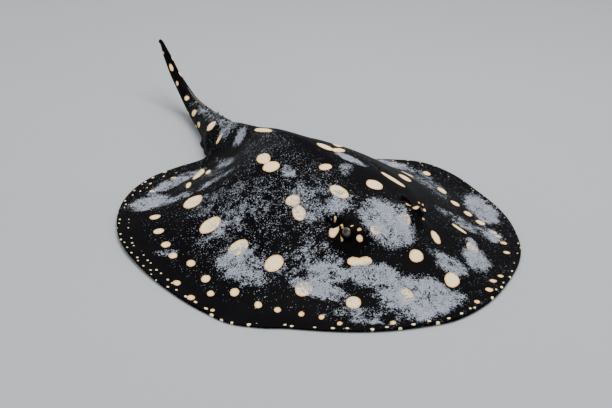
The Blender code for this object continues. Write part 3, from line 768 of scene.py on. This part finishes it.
# ---- shader building ----
class Socket:
    """A node's output that can be used in arithmetic; the sums become Math nodes."""

    def __init__(self, nodes, output):
        self.nodes, self.output = nodes, output

    def _math(self, operation, first, second):
        return self.nodes.add("ShaderNodeMath", {"operation": operation}, {0: first, 1: second})

    def __add__(self, other):
        return self._math("ADD", self, other)

    def __sub__(self, other):
        return self._math("SUBTRACT", self, other)

    def __rsub__(self, other):
        return self._math("SUBTRACT", other, self)

    def __mul__(self, other):
        return self._math("MULTIPLY", self, other)

    def __truediv__(self, other):
        return self._math("DIVIDE", self, other)

    __radd__, __rmul__ = __add__, __mul__

    def largest(self, other):
        return self._math("MAXIMUM", self, other)

    def least(self, other):
        return self._math("MINIMUM", self, other)

    def rises(self, low, high):
        """0 at low to 1 at high, with level ends."""
        return self.nodes.add("ShaderNodeMapRange", {"interpolation_type": "SMOOTHSTEP"},
                              {"Value": self, "From Min": low, "From Max": high})


class Nodes:
    """The nodes of one tree, added one at a time."""

    def __init__(self, tree):
        self.tree = tree

    def add(self, kind, settings=None, values=None, output=None):
        """A node with its settings made first and its sockets given values or links."""
        node = self.tree.nodes.new(kind)
        for key, value in (settings or {}).items():
            setattr(node, key, value)
        for key, value in (values or {}).items():
            self.give(self.find(node.inputs, key), value)
        return Socket(self, self.find(node.outputs, output))

    @staticmethod
    def find(sockets, key):
        """A socket by number, identifier or name, or the first one in use."""
        if isinstance(key, int):
            return sockets[key]
        return next(s for s in sockets if s.enabled and key in (None, s.identifier, s.name))

    def give(self, socket, value):
        """Link a socket, or set its value."""
        if isinstance(value, Socket):
            self.tree.links.new(value.output, socket)
        else:
            socket.default_value = (*value, 1.0) if socket.type == "RGBA" else value


class Shader(Nodes):
    """A material and its nodes."""

    def __init__(self, name):
        self.material = bpy.data.materials.new(name)
        self.material.use_nodes = True
        super().__init__(self.material.node_tree)
        self.principled = self.tree.nodes["Principled BSDF"]

    def finish(self, **values):
        """Give the Principled shader's sockets their values; underscores stand for spaces."""
        for key, value in values.items():
            self.give(self.find(self.principled.inputs, key.replace("_", " ")), value)
        return self.material

    def position(self):
        return self.add("ShaderNodeTexCoord", output="Object")

    def attribute(self, name, output="Fac"):
        return self.add("ShaderNodeAttribute", {"attribute_name": name}, output=output)

    def mix(self, factor, first, second, blend="MIX"):
        """Two colours mixed."""
        return self.add("ShaderNodeMix", {"data_type": "RGBA", "blend_type": blend},
                        {"Factor_Float": factor, "A_Color": first, "B_Color": second},
                        output="Result_Color")

    def cloud(self, scale, detail=3.0, roughness=0.5, vector=None):
        """Smooth noise, 0 to 1."""
        return self.add("ShaderNodeTexNoise", {}, {"Vector": vector or self.position(),
                        "Scale": scale, "Detail": detail, "Roughness": roughness}, output="Fac")

    def grains(self, scale, randomness=1.0, vector=None):
        """Cells: distance from each one's middle, and its own random number; flat over a vector."""
        cells = {"Vector": vector or self.position(), "Scale": scale, "Randomness": randomness}
        away = self.add("ShaderNodeTexVoronoi", {"voronoi_dimensions": "2D" if vector else "3D"},
                        cells, output="Distance")
        node = away.output.node
        tint = Socket(self, node.outputs["Color"])
        return away, self.add("ShaderNodeSeparateColor", {}, {"Color": tint}, output="Red")

    def bump(self, height, distance, strength=1.0, below=None):
        """A bump layer over another one."""
        values = {"Height": height, "Distance": distance, "Strength": strength}
        if below:
            values["Normal"] = below
        return self.add("ShaderNodeBump", {}, values)


def darker(colour, share):
    """A share of a colour."""
    return tuple(c * share for c in colour)


STAIN = (0.42, 0.30, 0.20)              # brown in the cream of the spots
EYE_RIM, PUPIL = (0.010, 0.009, 0.010), (0.002, 0.002, 0.003)


def skin_material(look):
    """Black skin with cream spots in a gold line, dotted margin and lying sand; pale belly with
    painted shade in its slits.
    """
    s = Shader("skin")
    uneven = s.cloud(90.0, 4.0, 0.6)
    wander = (s.cloud(420.0, 2.0) - 0.5) * 1.4 + (s.cloud(130.0, 2.0) - 0.5) * 2.0
    spot = s.attribute("spot") + wander * 0.8
    inside = 1 - spot.rises(-0.30, 0.30)
    rim = inside * spot.rises(-1.9, -0.1)

    away, own = s.grains(1.0, 0.70, s.attribute("margin", "Vector"))
    dot_size = s.attribute("dots") * (own * 0.6 + 0.7)
    dots = (1 - (away - dot_size).rises(-0.03, 0.03)) * s.attribute("dots").rises(0.02, 0.06)

    dark = s.mix(uneven, look.dark_colour, darker(look.dark_colour, 0.45))
    dark = s.mix(s.cloud(22.0, 3.0).rises(0.45, 0.75) * 0.35, dark, look.brown_colour)
    cream = s.mix(rim, look.spot_colour, look.spot_edge_colour)
    cream = s.mix(s.cloud(700.0, 2.0) * 0.10, cream, STAIN)
    belly = s.attribute("belly")
    pale = s.mix(s.cloud(60.0, 4.0, 0.65).rises(0.35, 0.7) * 0.5, look.belly_colour,
                 darker(look.belly_colour, 0.72))
    skin = s.mix(inside.largest(dots), dark, cream)
    mottle = (s.cloud(160.0, 2.0) - 0.5) * 1.1 + (s.cloud(35.0, 2.0) - 0.5) * 1.8
    edge = belly.rises(0.02, 0.25) * (1 - belly.rises(0.7, 1.0))
    # Painted shade: the belly darkens inside mouth, nostrils, gill slits and vent, more where the
    # hollow is deeper.
    pale = s.mix(s.attribute("slit_shade"), pale, look.slit_shade_colour)
    skin = s.mix((belly + mottle * edge).rises(0.12, 0.88), skin, pale)

    amount = s.attribute("sand") * look.sand_cover
    drift = ((s.cloud(30.0, 5.0, 0.6) - 0.5) * 2.2 + (s.cloud(110.0, 3.0, 0.6) - 0.5) * 2.2
             + (s.cloud(420.0, 2.0, 0.6) - 0.5) * 1.7)
    level = (amount + drift * amount.rises(0.0, 0.40)).least(0.93) * s.attribute("open")
    fine, fine_own = s.grains(1350.0)
    coarse, coarse_own = s.grains(800.0)
    on_fine = (level * 1.05 - fine_own).rises(0.0, 0.04)
    on_fine = on_fine * (1 - (fine - level * 0.5).rises(0.28, 0.42))
    on_coarse = (level * 0.55 - coarse_own).rises(0.0, 0.04) * (1 - coarse.rises(0.40, 0.50))
    sand = on_fine.largest(on_coarse)
    grain_tone = s.mix(coarse_own, look.sand_colour, darker(look.sand_colour, 0.60))
    colour = s.mix(sand, skin, grain_tone)

    height = s.cloud(900.0, 3.0, 0.6)
    leather, _ = s.grains(620.0)
    normal = s.bump(height, 0.00012, 0.35)
    normal = s.bump(leather, 0.00018, 0.30, normal)
    normal = s.bump(sand * (1.2 - fine), 0.0005, 0.60, normal)
    return s.finish(Base_Color=colour, Roughness=sand * 0.35 + 0.50 + uneven * 0.10,
                    Normal=normal, Specular_IOR_Level=0.027)


def eye_material(look):
    """Dark eyeball: a gold-flecked iris round a black pupil, drawn from the gaze direction."""
    s = Shader("eye")
    inwards = s.attribute("iris")
    streaks = s.cloud(900.0, 4.0, 0.7)
    iris = s.mix(streaks.rises(0.35, 0.7), darker(look.iris_colour, 0.25), look.iris_colour)
    outside = inwards.rises(0.86, 0.95)
    pupil = 1 - inwards.rises(0.42, 0.47)
    colour = s.mix(outside, iris, EYE_RIM)
    colour = s.mix(pupil, colour, PUPIL)
    return s.finish(Base_Color=colour, Roughness=0.07 + outside * 0.35, Coat_Weight=0.35,
                    Coat_Roughness=0.03, IOR=1.38)


def sting_material(look):
    """Old ivory with darker streaks of grain along its length."""
    s = Shader("sting")
    grain = s.cloud(500.0, 4.0, 0.6, s.add("ShaderNodeMapping", {}, {
        "Vector": s.position(), "Scale": (1.0, 0.12, 1.0)}))
    colour = s.mix(grain.rises(0.3, 0.7), look.bone_colour, darker(look.bone_colour, 0.55))
    return s.finish(Base_Color=colour, Roughness=0.38 + grain * 0.2,
                    Normal=s.bump(grain, 0.00015, 0.5))


def thorn_material(look):
    """Small bony thorns, dark at the foot and pale at the point."""
    s = Shader("thorns")
    tip = s.attribute("tip")
    colour = s.mix(tip.rises(0.25, 0.95), look.dark_colour, look.bone_colour)
    return s.finish(Base_Color=colour, Roughness=0.42 + s.cloud(900.0) * 0.2)


# ---- settings ----
def colour_setting(name, description, default):
    return FloatVectorProperty(name=name, description=description, subtype="COLOR", size=3,
                               min=0.0, max=1.0, default=default)


class STINGRAY_PG_skin(bpy.types.PropertyGroup):
    """Colours of the skin and how much sand lies on it."""
    dark_colour: colour_setting("Dark", "Ground colour of the back", (0.0013, 0.0010, 0.0016))
    brown_colour: colour_setting("Dark shade", "Warmer shade in the dark",
                                 (0.0060, 0.0042, 0.0046))
    spot_colour: colour_setting("Spots", "Cream of the spots", (1.0, 0.79, 0.47))
    spot_edge_colour: colour_setting("Spot edge", "Gold line round the spots", (0.92, 0.45, 0.10))
    belly_colour: colour_setting("Belly", "Pale underside", (0.86, 0.76, 0.70))
    # Colour of the painted shade inside mouth, nostrils and gill slits.
    slit_shade_colour: colour_setting("Slits", "Inside mouth, nostrils and gill slits",
                                (0.20, 0.085, 0.075))
    sand_colour: colour_setting("Sand", "Sand lying on the back", (0.34, 0.36, 0.41))
    sand_cover: FloatProperty(name="Sand cover", description="Amount of sand on the back",
                              subtype="FACTOR", min=0.0, max=1.5, default=1.0)


class STINGRAY_PG_parts(bpy.types.PropertyGroup):
    """Colours of the eyes, sting and thorns, and the number of thorns."""
    iris_colour: colour_setting("Iris", "Pale gold of the iris", (0.10, 0.078, 0.050))
    bone_colour: colour_setting("Bone", "Sting and points of the thorns", (0.040, 0.032, 0.025))
    dark_colour: colour_setting("Thorn foot", "Foot of the thorns", (0.012, 0.010, 0.012))
    thorn_height: FloatProperty(name="Thorn height", description="Height of the largest thorns",
                                subtype="DISTANCE", unit="LENGTH", default=0.0072)
    thorn_count: IntProperty(name="Thorns", description="Thorns along the tail's ridge",
                             min=3, max=60, default=24)
    barb_count: IntProperty(name="Barbs", description="Barbs along each side of the sting",
                            min=4, max=60, default=24)


class STINGRAY_PG_stage(bpy.types.PropertyGroup):
    """Floor, lights and camera."""
    floor_colour: colour_setting("Floor", "Plain floor", (0.375, 0.385, 0.39))
    key_power: FloatProperty(name="Key light", description="Power of the overhead light",
                             subtype="POWER", unit="POWER", default=46.0)
    fill_power: FloatProperty(name="Fill light", description="Power of the side light",
                              subtype="POWER", unit="POWER", default=9.0)
    room_light: FloatProperty(name="Room light", description="Light from all round",
                              min=0.0, default=0.85)
    lens: FloatProperty(name="Lens", description="Focal length of the camera",
                        subtype="DISTANCE_CAMERA", default=55.4)


# ---- pieces ----
def new_object(name, mesh):
    found = bpy.data.objects.new(name, mesh)
    bpy.context.collection.objects.link(found)
    return found


def new_mesh(name, points, groups, material):
    """A smooth mesh of points and groups of faces."""
    mesh = bpy.data.meshes.new(name)
    mesh.from_pydata(points.tolist(), [], [f for faces in groups for f in faces.tolist()])
    mesh.materials.append(material)
    mesh.shade_smooth()
    return mesh


def set_attribute(mesh, name, values):
    """A number, or vector, for each vertex."""
    kind, key = ("FLOAT", "value") if values.ndim == 1 else ("FLOAT_VECTOR", "vector")
    mesh.attributes.new(name, kind, "POINT").data.foreach_set(key, values.ravel())


def tail_girth(points, rows):
    """Distance round the tail from its ridge, in millimetres, left positive, row by row."""
    sections = points[rows]
    steps = np.linalg.norm(np.diff(sections, axis=1, append=sections[:, :1]), axis=2)
    around = np.cumsum(steps, axis=1) - steps
    total = steps.sum(axis=1)[:, None]
    ridge = int(np.argmin(abs(ANGLES - 90)))
    signed = around[:, ridge:ridge + 1] - around
    return np.where(signed < -total / 2, signed + total, signed) / MM


DOTS_REACH, DOTS_REACH_SIDE = 0.0050, 0.0095     # depth of the band of dots, and more at the sides
DOTS_SIZE, DOTS_FINER = 0.150, 0.055             # largest dot as a share of a cell, and less there
DOTS_STOP = (168, 163)                           # degrees off the snout, short of the tail
BELLY_BORDER, BELLY_INNER = 0.016, 0.052         # the dark border below fades out between them
TAIL_DUST, TAIL_DUST_LEAST = 0.55, 0.05


def sheet_looks(built):
    """What the skin's material reads on the back and belly, by name."""
    plan = built.plan
    bearing, gap = bearing_of(*plan.T), edge_gap(*plan.T)
    under = np.arange(len(plan)) >= built.back_count
    lateral = rise(abs(bearing), 62, 86)
    band = DOTS_REACH + DOTS_REACH_SIDE * lateral
    largest = (DOTS_SIZE - DOTS_FINER * lateral) * (1 - 0.42 * rise(bearing, 25, 40))
    inner_edge = rise(gap, band * 0.85, band)
    arc = np.radians(bearing) * disc_radius(bearing)
    return {"spot": np.where(under, FAR_OFF, spot_field(plan)),
            "sand": sand_field(plan),
            "belly": rise(gap, BELLY_BORDER, BELLY_INNER) * under,
            "dots": largest * rise(abs(bearing), *DOTS_STOP) * (1 - inner_edge),
            "open": 1.0 - under,
            # painted shade inside the belly's hollows, stronger where they are deeper
            "slit_shade": rise(belly_hollow(plan) / MM, 0.5, 2.1) * under,
            "margin": np.stack((arc / DOT_SPACING, gap / DOT_ROWS + 0.02, 0 * arc), -1)}


def tail_looks(built):
    """What the skin's material reads on the tail, by name."""
    girth = tail_girth(built.points, built.rows[1:])
    y = built.tail_y[:, None]
    spot = np.full(girth.shape, FAR_OFF)
    for behind, aside, half_length, half_girth in TAIL_SPOTS:
        near = np.hypot((y / MM - behind) / half_length, (girth - aside) / half_girth)
        spot = np.minimum(spot, (near - 1) * min(half_length, half_girth))
    top = rise(abs(girth), 19.2, 3.2)
    dust = np.maximum(TAIL_DUST * top, TAIL_DUST_LEAST) * (1 - rise(y, 0.3, 0.39))
    low = rise(abs(ANGLES - 270), 60, 30)[None]
    return {"spot": spot, "sand": dust, "belly": low * (1 - rise(y, 0.25, 0.35))}


def skin_attributes(mesh, built):
    """Store the looks of sheets and tail on the skin; the pole at the tip keeps the plain ones."""
    tail = tail_looks(built)
    for name, values in sheet_looks(built).items():
        plain_value = {"spot": FAR_OFF, "open": 1.0}.get(name, 0.0)
        every = np.full((len(built.points), *values.shape[1:]), plain_value)
        every[:len(values)] = values
        if name in tail:
            every[len(values):len(values) + tail[name].size] = tail[name].ravel()
        set_attribute(mesh, name, every)


# The islands in the texture: the gap round them, the squares of back and belly, the tail's band.
ISLAND_GAP, BACK_WIDE, BELLY_LEFT, BELLY_WIDE = 0.01, 0.64, 0.675, 0.315
TAIL_BAND_FROM, TAIL_BAND_WIDE = 0.66, 0.32


def skin_islands(built):
    """Texture coordinates, one pair for each face corner: back, belly, tail."""
    place = built.plan / (2.25 * DISC_RADIUS) + 0.5
    back = ISLAND_GAP + BACK_WIDE * place
    belly = (BELLY_LEFT, ISLAND_GAP) + BELLY_WIDE * place
    rows, sides = built.rows.shape
    down = ISLAND_GAP + (1 - 2 * ISLAND_GAP) * np.arange(rows + 1) / rows
    about = TAIL_BAND_FROM + TAIL_BAND_WIDE * np.arange(sides + 1) / sides
    grid = np.stack(np.meshgrid(down, about, indexing="ij"), -1)
    quads = np.stack((grid[:-2, :-1], grid[1:-1, :-1], grid[1:-1, 1:], grid[:-2, 1:]), 2)
    tips = np.stack((grid[-2, :-1], (grid[-1, :-1] + grid[-1, 1:]) / 2, grid[-2, 1:]), 1)
    corners = (back[built.back_faces], belly[built.belly_faces], quads, tips)
    return np.concatenate([part.reshape(-1, 2) for part in corners])


class STINGRAY_OT_skin(bpy.types.Operator):
    """Build the one skin of head, trunk, fins and tail"""
    bl_idname = "stingray.skin"
    bl_label = "Skin"

    def execute(self, context):
        built = SkinMesh()
        built.smooth_join()
        mesh = new_mesh("skin", built.points, (built.back_faces, built.belly_faces,
                                               built.tail_faces, built.tip_faces),
                        skin_material(context.scene.stingray_skin))
        mesh.uv_layers.new(name="OFBake").data.foreach_set("uv", skin_islands(built).ravel())
        skin_attributes(mesh, built)
        if mesh.validate():
            raise RuntimeError("the skin has a bad face")
        skin = new_object("skin", mesh)
        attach(skin, "root")
        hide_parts(*FLESH)
        return {"FINISHED"}


BALL_RINGS, BALL_SIDES = 40, 48
CORNEA, CORNEA_WIDE = 0.015, 34          # bulge as a share of the ball, and degrees off the gaze
IRIS_WIDE, IRIS_OVAL = 46, 0.16          # degrees off the gaze, and how much narrower it is across
FLAP = 0.42                              # how far the flap of the iris hangs into the pupil


def eyeball(side):
    """A closed ball with rings round its gaze, a bulging cornea, and how far out each point is."""
    centre, (across, along, gaze) = eye_centre(side), eye_axes(side)
    angle = math.pi * np.arange(1, BALL_RINGS)[:, None, None] / BALL_RINGS
    turn = 2 * math.pi * np.arange(BALL_SIDES)[:, None] / BALL_SIDES
    radius = EYE_RADIUS * (1 - CORNEA + CORNEA * bell(angle, math.radians(CORNEA_WIDE)))
    rings = centre + radius * (np.cos(angle) * gaze + np.sin(angle)
                               * (np.cos(turn) * across + np.sin(turn) * along))
    out = angle / math.radians(IRIS_WIDE)
    flap = FLAP * np.exp(-(1 + side * np.cos(turn)) / 0.16) * bell(out, 0.5)
    share = out * (1 + IRIS_OVAL * np.cos(turn) ** 2) + flap
    ends = centre + np.array((1, -1))[:, None] * gaze * EYE_RADIUS
    points = np.concatenate((ends[:1], rings.reshape(-1, 3), ends[1:]))
    rows = 1 + np.arange(share.size).reshape(-1, BALL_SIDES)
    return points, tube(rows, 0, len(points) - 1), np.array((0.0, *share.ravel(), 9.0))


class STINGRAY_OT_eyes(bpy.types.Operator):
    """Build both eyes, set in their lids"""
    bl_idname = "stingray.eyes"
    bl_label = "Eyes"

    def execute(self, context):
        material = eye_material(context.scene.stingray_parts)
        for side, label in ((1, "left"), (-1, "right")):
            points, faces, share = eyeball(side)
            mesh = new_mesh("eyeball_" + label, points, faces, material)
            set_attribute(mesh, "iris", share)
            eye = new_object("eyeball_" + label, mesh)
            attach(eye, "root")
            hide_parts("eye_" + label)
        return {"FINISHED"}


BARB_STEPS, BARB_OUT = 4, 0.00062     # sections to a barb, and how far it stands out
STING_POINT = 0.00022                 # half width at the tip
STING_SHARP = 42                      # degrees between faces from which an edge is sharp


def sting_sections(barbs):
    """Sections of the sting: a flat blade, grooved below, with backward barbs on each side."""
    step = np.arange(barbs * BARB_STEPS + 1)
    share = step / step[-1]
    y = STING_FROM + STING_LENGTH * share
    middle, _, half_height = tail_line(y)
    across, up = tail_axes(y)
    thick = STING_THICKNESS / 2 * (1 - 0.72 * share)
    foot = middle + up * (half_height + thick + STING_CLEAR + STING_RISE * share)[:, None]
    width = STING_WIDTH / 2 * (1 - share ** 2.4) * 0.86 + STING_POINT
    barbed = rise(share, 0.1, 0.18) * rise(share, 1, 0.94)
    outer = width + BARB_OUT * (step % BARB_STEPS / (BARB_STEPS - 1)) * barbed
    a = np.radians(np.arange(0, 360, 22.5))
    wide, tall = np.cos(a), np.sin(a)
    reach = np.where(abs(tall) < 0.3, outer[:, None], width[:, None]) * wide
    groove = 0.30 * bell(wide, 0.28) * (tall < 0)
    ridge = 0.18 * bell(wide, 0.30) * (tall > 0)
    height = thick[:, None] * (tall * 0.85 + groove + ridge)
    return foot[:, None] + across[:, None] * reach[..., None] + up[:, None] * height[..., None]


class STINGRAY_OT_sting(bpy.types.Operator):
    """Build the barbed sting that lies along the tail"""
    bl_idname = "stingray.sting"
    bl_label = "Sting"

    def execute(self, context):
        look = context.scene.stingray_parts
        rows = sting_sections(look.barb_count)
        points = np.concatenate((rows.reshape(-1, 3), rows[[0, -1]].mean(axis=1)))
        numbers = np.arange(rows[..., 0].size).reshape(rows.shape[:2])
        faces = tube(numbers, numbers.size, numbers.size + 1)
        mesh = new_mesh("tail_sting", points, faces, sting_material(look))
        mesh.set_sharp_from_angle(angle=math.radians(STING_SHARP))
        sting = new_object("tail_sting", mesh)
        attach(sting, "root")
        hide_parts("sting")
        return {"FINISHED"}


THORNS_FROM, THORNS_TO = 0.224, 0.320
THORN_SUNK, THORNS_WAVER, THORNS_WAVES = 0.0005, 0.0022, 4.5
THORN_PATH_POINTS, ABOVE_ALL = 60, 0.2
THORN_SHARP = 50          # degrees between faces from which an edge is sharp


def thorn_path(skin):
    """An open curve on the skin's ridge along the root of the tail, wavering from side to side."""
    y = np.linspace(THORNS_FROM, THORNS_TO, THORN_PATH_POINTS)
    waver = THORNS_WAVER * np.sin(np.linspace(0, 2 * math.pi * THORNS_WAVES, len(y)))
    across = tail_line(y)[0][:, 0] + waver
    feet = [skin.ray_cast((x, behind, ABOVE_ALL), (0, 0, -1))[1] for x, behind in zip(across, y)]
    curve = bpy.data.curves.new("thorn_path", "CURVE")
    curve.dimensions = "3D"
    spline = curve.splines.new("POLY")
    spline.points.add(len(y) - 1)
    for point, place in zip(spline.points, feet):
        point.co = (place.x, place.y, place.z - THORN_SUNK, 1)
    return new_object("thorn_path", curve)


class Geometry(Nodes):
    """A geometry node tree and its inputs."""

    def __init__(self, name):
        super().__init__(bpy.data.node_groups.new(name, "GeometryNodeTree"))
        self.tree.interface.new_socket("Geometry", in_out="OUTPUT",
                                       socket_type="NodeSocketGeometry")
        self.keys = {}

    def inputs(self, **kinds):
        """The tree's inputs, which the modifier shows, by name."""
        for name, kind in kinds.items():
            socket = self.tree.interface.new_socket(name, in_out="INPUT", socket_type=kind)
            self.keys[name] = socket.identifier
        group = self.tree.nodes.new("NodeGroupInput")
        return [Socket(self, group.outputs[name]) for name in kinds]


THORN_GIRTH, THORN_POINT = 0.36, 0.00012     # foot's radius as a share of height, and the tip's
THORN_SIZES = (0.55, 1.0)
THORN_LEANS = ((-0.75, -0.25, 0.0), (-0.40, 0.25, 6.28))


def thorn_tree(material):
    """Thorns spaced along a curve: cones leaning back, of random sizes and turns."""
    g = Geometry("thorns")
    path, count, height = g.inputs(Path="NodeSocketObject", Count="NodeSocketInt",
                                   Height="NodeSocketFloat")
    line = g.add("GeometryNodeObjectInfo", {"transform_space": "RELATIVE"}, {"Object": path},
                 "Geometry")
    points = g.add("GeometryNodeCurveToPoints", {"mode": "COUNT"}, {"Curve": line, "Count": count},
                   "Points")
    cone = g.add("GeometryNodeMeshCone", {"fill_type": "NGON"},
                 {"Vertices": 10, "Side Segments": 5, "Radius Top": THORN_POINT,
                  "Radius Bottom": height * THORN_GIRTH, "Depth": height}, "Mesh")
    level = g.add("ShaderNodeSeparateXYZ", {}, {"Vector": g.add("GeometryNodeInputPosition")}, "Z")
    stored = g.add("GeometryNodeStoreNamedAttribute", {"data_type": "FLOAT", "domain": "POINT"},
                   {"Geometry": cone, "Name": "tip", "Value": level / height}, "Geometry")
    size = g.add("FunctionNodeRandomValue", {"data_type": "FLOAT"},
                 {"Min": THORN_SIZES[0], "Max": THORN_SIZES[1], "Seed": 7}, "Value")
    lean = g.add("FunctionNodeRandomValue", {"data_type": "FLOAT_VECTOR"},
                 {"Min": THORN_LEANS[0], "Max": THORN_LEANS[1], "Seed": 11}, "Value")
    placed = g.add("GeometryNodeInstanceOnPoints", {}, {
        "Points": points, "Instance": stored, "Rotation": lean, "Scale": size}, "Instances")
    real = g.add("GeometryNodeRealizeInstances", {}, {"Geometry": placed}, "Geometry")
    final = g.add("GeometryNodeSetMaterial", {}, {"Geometry": real, "Material": material},
                  "Geometry")
    g.give(g.tree.nodes.new("NodeGroupOutput").inputs["Geometry"], final)
    return g


def plain_mesh(carrier, name):
    """The evaluated mesh of an object with live modifiers, as a plain object of its own."""
    depsgraph = bpy.context.evaluated_depsgraph_get()
    mesh = bpy.data.meshes.new_from_object(carrier.evaluated_get(depsgraph))
    mesh.name = name
    return new_object(name, mesh)


class STINGRAY_OT_thorns(bpy.types.Operator):
    """Grow the row of thorns along the ridge of the tail's root"""
    bl_idname = "stingray.thorns"
    bl_label = "Thorns"

    def execute(self, context):
        look = context.scene.stingray_parts
        material = thorn_material(look)
        skin = bpy.data.objects.get("skin")
        if skin is None:
            raise RuntimeError("the thorns need the skin to stand on")
        context.view_layer.update()
        path = thorn_path(skin)
        carrier = new_object("thorn_carrier", bpy.data.meshes.new("thorn_carrier"))
        tree = thorn_tree(material)
        modifier = carrier.modifiers.new("Thorns", "NODES")
        modifier.node_group = tree.tree
        modifier[tree.keys["Path"]] = path
        modifier[tree.keys["Count"]] = look.thorn_count
        modifier[tree.keys["Height"]] = look.thorn_height
        thorns = plain_mesh(carrier, "tail_thorns")
        if not len(thorns.data.polygons):
            raise RuntimeError("no thorns were made")
        for helper in (carrier, path):
            bpy.data.objects.remove(helper)
        thorns.data.shade_smooth()
        thorns.data.set_sharp_from_angle(angle=math.radians(THORN_SHARP))
        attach(thorns, "root")
        return {"FINISHED"}


# ---- stage ----
CAMERA_PLACE = (-0.5564, -0.7323, 0.4842)
CAMERA_BEARING = 35.7     # degrees off straight ahead along +Y, towards +X
CAMERA_PITCH = 26.4       # degrees down
CAMERA_ROLL = 3.21
FLOOR_HALF, FLOOR_LEVEL = 30.0, -0.0003
KEY_PLACE, KEY_SIZE = (0.35, 0.10, 1.9), 1.3
FILL_PLACE, FILL_SIZE, FILL_COLOUR = (-1.5, -0.9, 1.1), 1.6, (0.94, 0.97, 1)
ROOM_COLOUR = (0.90, 0.95, 1.0)


def area_light(name, place, target, size, power, colour=(1, 1, 1)):
    light = bpy.data.lights.new(name, "AREA")
    light.energy = power
    light.size = size
    light.color = colour
    lamp = new_object(name, light)
    lamp.location = place
    lamp.rotation_euler = (Vector(target) - Vector(place)).to_track_quat("-Z", "Y").to_euler()


class STINGRAY_OT_stage(bpy.types.Operator):
    """Set up the plain floor, the soft lights and the camera"""
    bl_idname = "stingray.stage"
    bl_label = "Stage"

    def execute(self, context):
        look = context.scene.stingray_stage
        floor_mesh = bpy.data.meshes.new("floor")
        floor_mesh.from_pydata([(x * FLOOR_HALF, y * FLOOR_HALF, FLOOR_LEVEL) for x, y in
                                ((-1, -1), (1, -1), (1, 1), (-1, 1))], [], [(0, 1, 2, 3)])
        s = Shader("floor")
        tone = s.mix(s.cloud(3.0, 2.0), look.floor_colour, darker(look.floor_colour, 0.94))
        floor_mesh.materials.append(s.finish(Base_Color=tone, Roughness=0.85))
        new_object("floor", floor_mesh)
        area_light("key", KEY_PLACE, (0, 0, 0), KEY_SIZE, look.key_power)
        area_light("fill", FILL_PLACE, (0, 0, 0.02), FILL_SIZE, look.fill_power, FILL_COLOUR)
        world = bpy.data.worlds.new("room")
        world.use_nodes = True
        light = world.node_tree.nodes["Background"].inputs
        light["Color"].default_value = (*ROOM_COLOUR, 1.0)
        light["Strength"].default_value = look.room_light
        context.scene.world = world
        camera = bpy.data.cameras.new("camera")
        camera.lens = look.lens
        camera.sensor_width = 36.0
        camera.clip_start = 0.01
        view = new_object("camera", camera)
        turn = (Matrix.Rotation(math.radians(-CAMERA_BEARING), 4, "Z")
                @ Matrix.Rotation(math.radians(90 - CAMERA_PITCH), 4, "X")
                @ Matrix.Rotation(math.radians(CAMERA_ROLL), 4, "Z"))
        view.matrix_world = Matrix.Translation(CAMERA_PLACE) @ turn
        context.scene.camera = view
        return {"FINISHED"}


class STINGRAY_PT_panel(bpy.types.Panel):
    """Sizes and colours, with a button for each piece."""
    bl_label = "Spotted River Stingray"
    bl_idname = "STINGRAY_PT_panel"
    bl_space_type = "VIEW_3D"
    bl_region_type = "UI"
    bl_category = "Stingray"

    def draw(self, context):
        scene = context.scene
        for title, settings, operators in (
                ("Skin", scene.stingray_skin, (STINGRAY_OT_skin,)),
                ("Parts", scene.stingray_parts, (STINGRAY_OT_eyes, STINGRAY_OT_sting,
                                                 STINGRAY_OT_thorns)),
                ("Stage", scene.stingray_stage, (STINGRAY_OT_stage,))):
            box = self.layout.box()
            box.label(text=title)
            for name in type(settings).__annotations__:
                box.prop(settings, name)
            for operator in operators:
                box.operator(operator.bl_idname)


SETTINGS = {"stingray_skin": STINGRAY_PG_skin, "stingray_parts": STINGRAY_PG_parts,
            "stingray_stage": STINGRAY_PG_stage}
OPERATORS = (STINGRAY_OT_skin, STINGRAY_OT_eyes, STINGRAY_OT_sting, STINGRAY_OT_thorns,
             STINGRAY_OT_stage)


def register():
    for cls in (*SETTINGS.values(), *OPERATORS, STINGRAY_PT_panel):
        bpy.utils.register_class(cls)
    for name, cls in SETTINGS.items():
        setattr(bpy.types.Scene, name, PointerProperty(type=cls))


def unregister():
    for name in SETTINGS:
        delattr(bpy.types.Scene, name)
    for cls in (STINGRAY_PT_panel, *reversed(OPERATORS), *reversed(SETTINGS.values())):
        bpy.utils.unregister_class(cls)


def main():
    register()
    bpy.ops.stingray.skin()
    bpy.ops.stingray.eyes()
    bpy.ops.stingray.sting()
    bpy.ops.stingray.thorns()
    bpy.ops.stingray.stage()


if __name__ == "__main__":
    main()
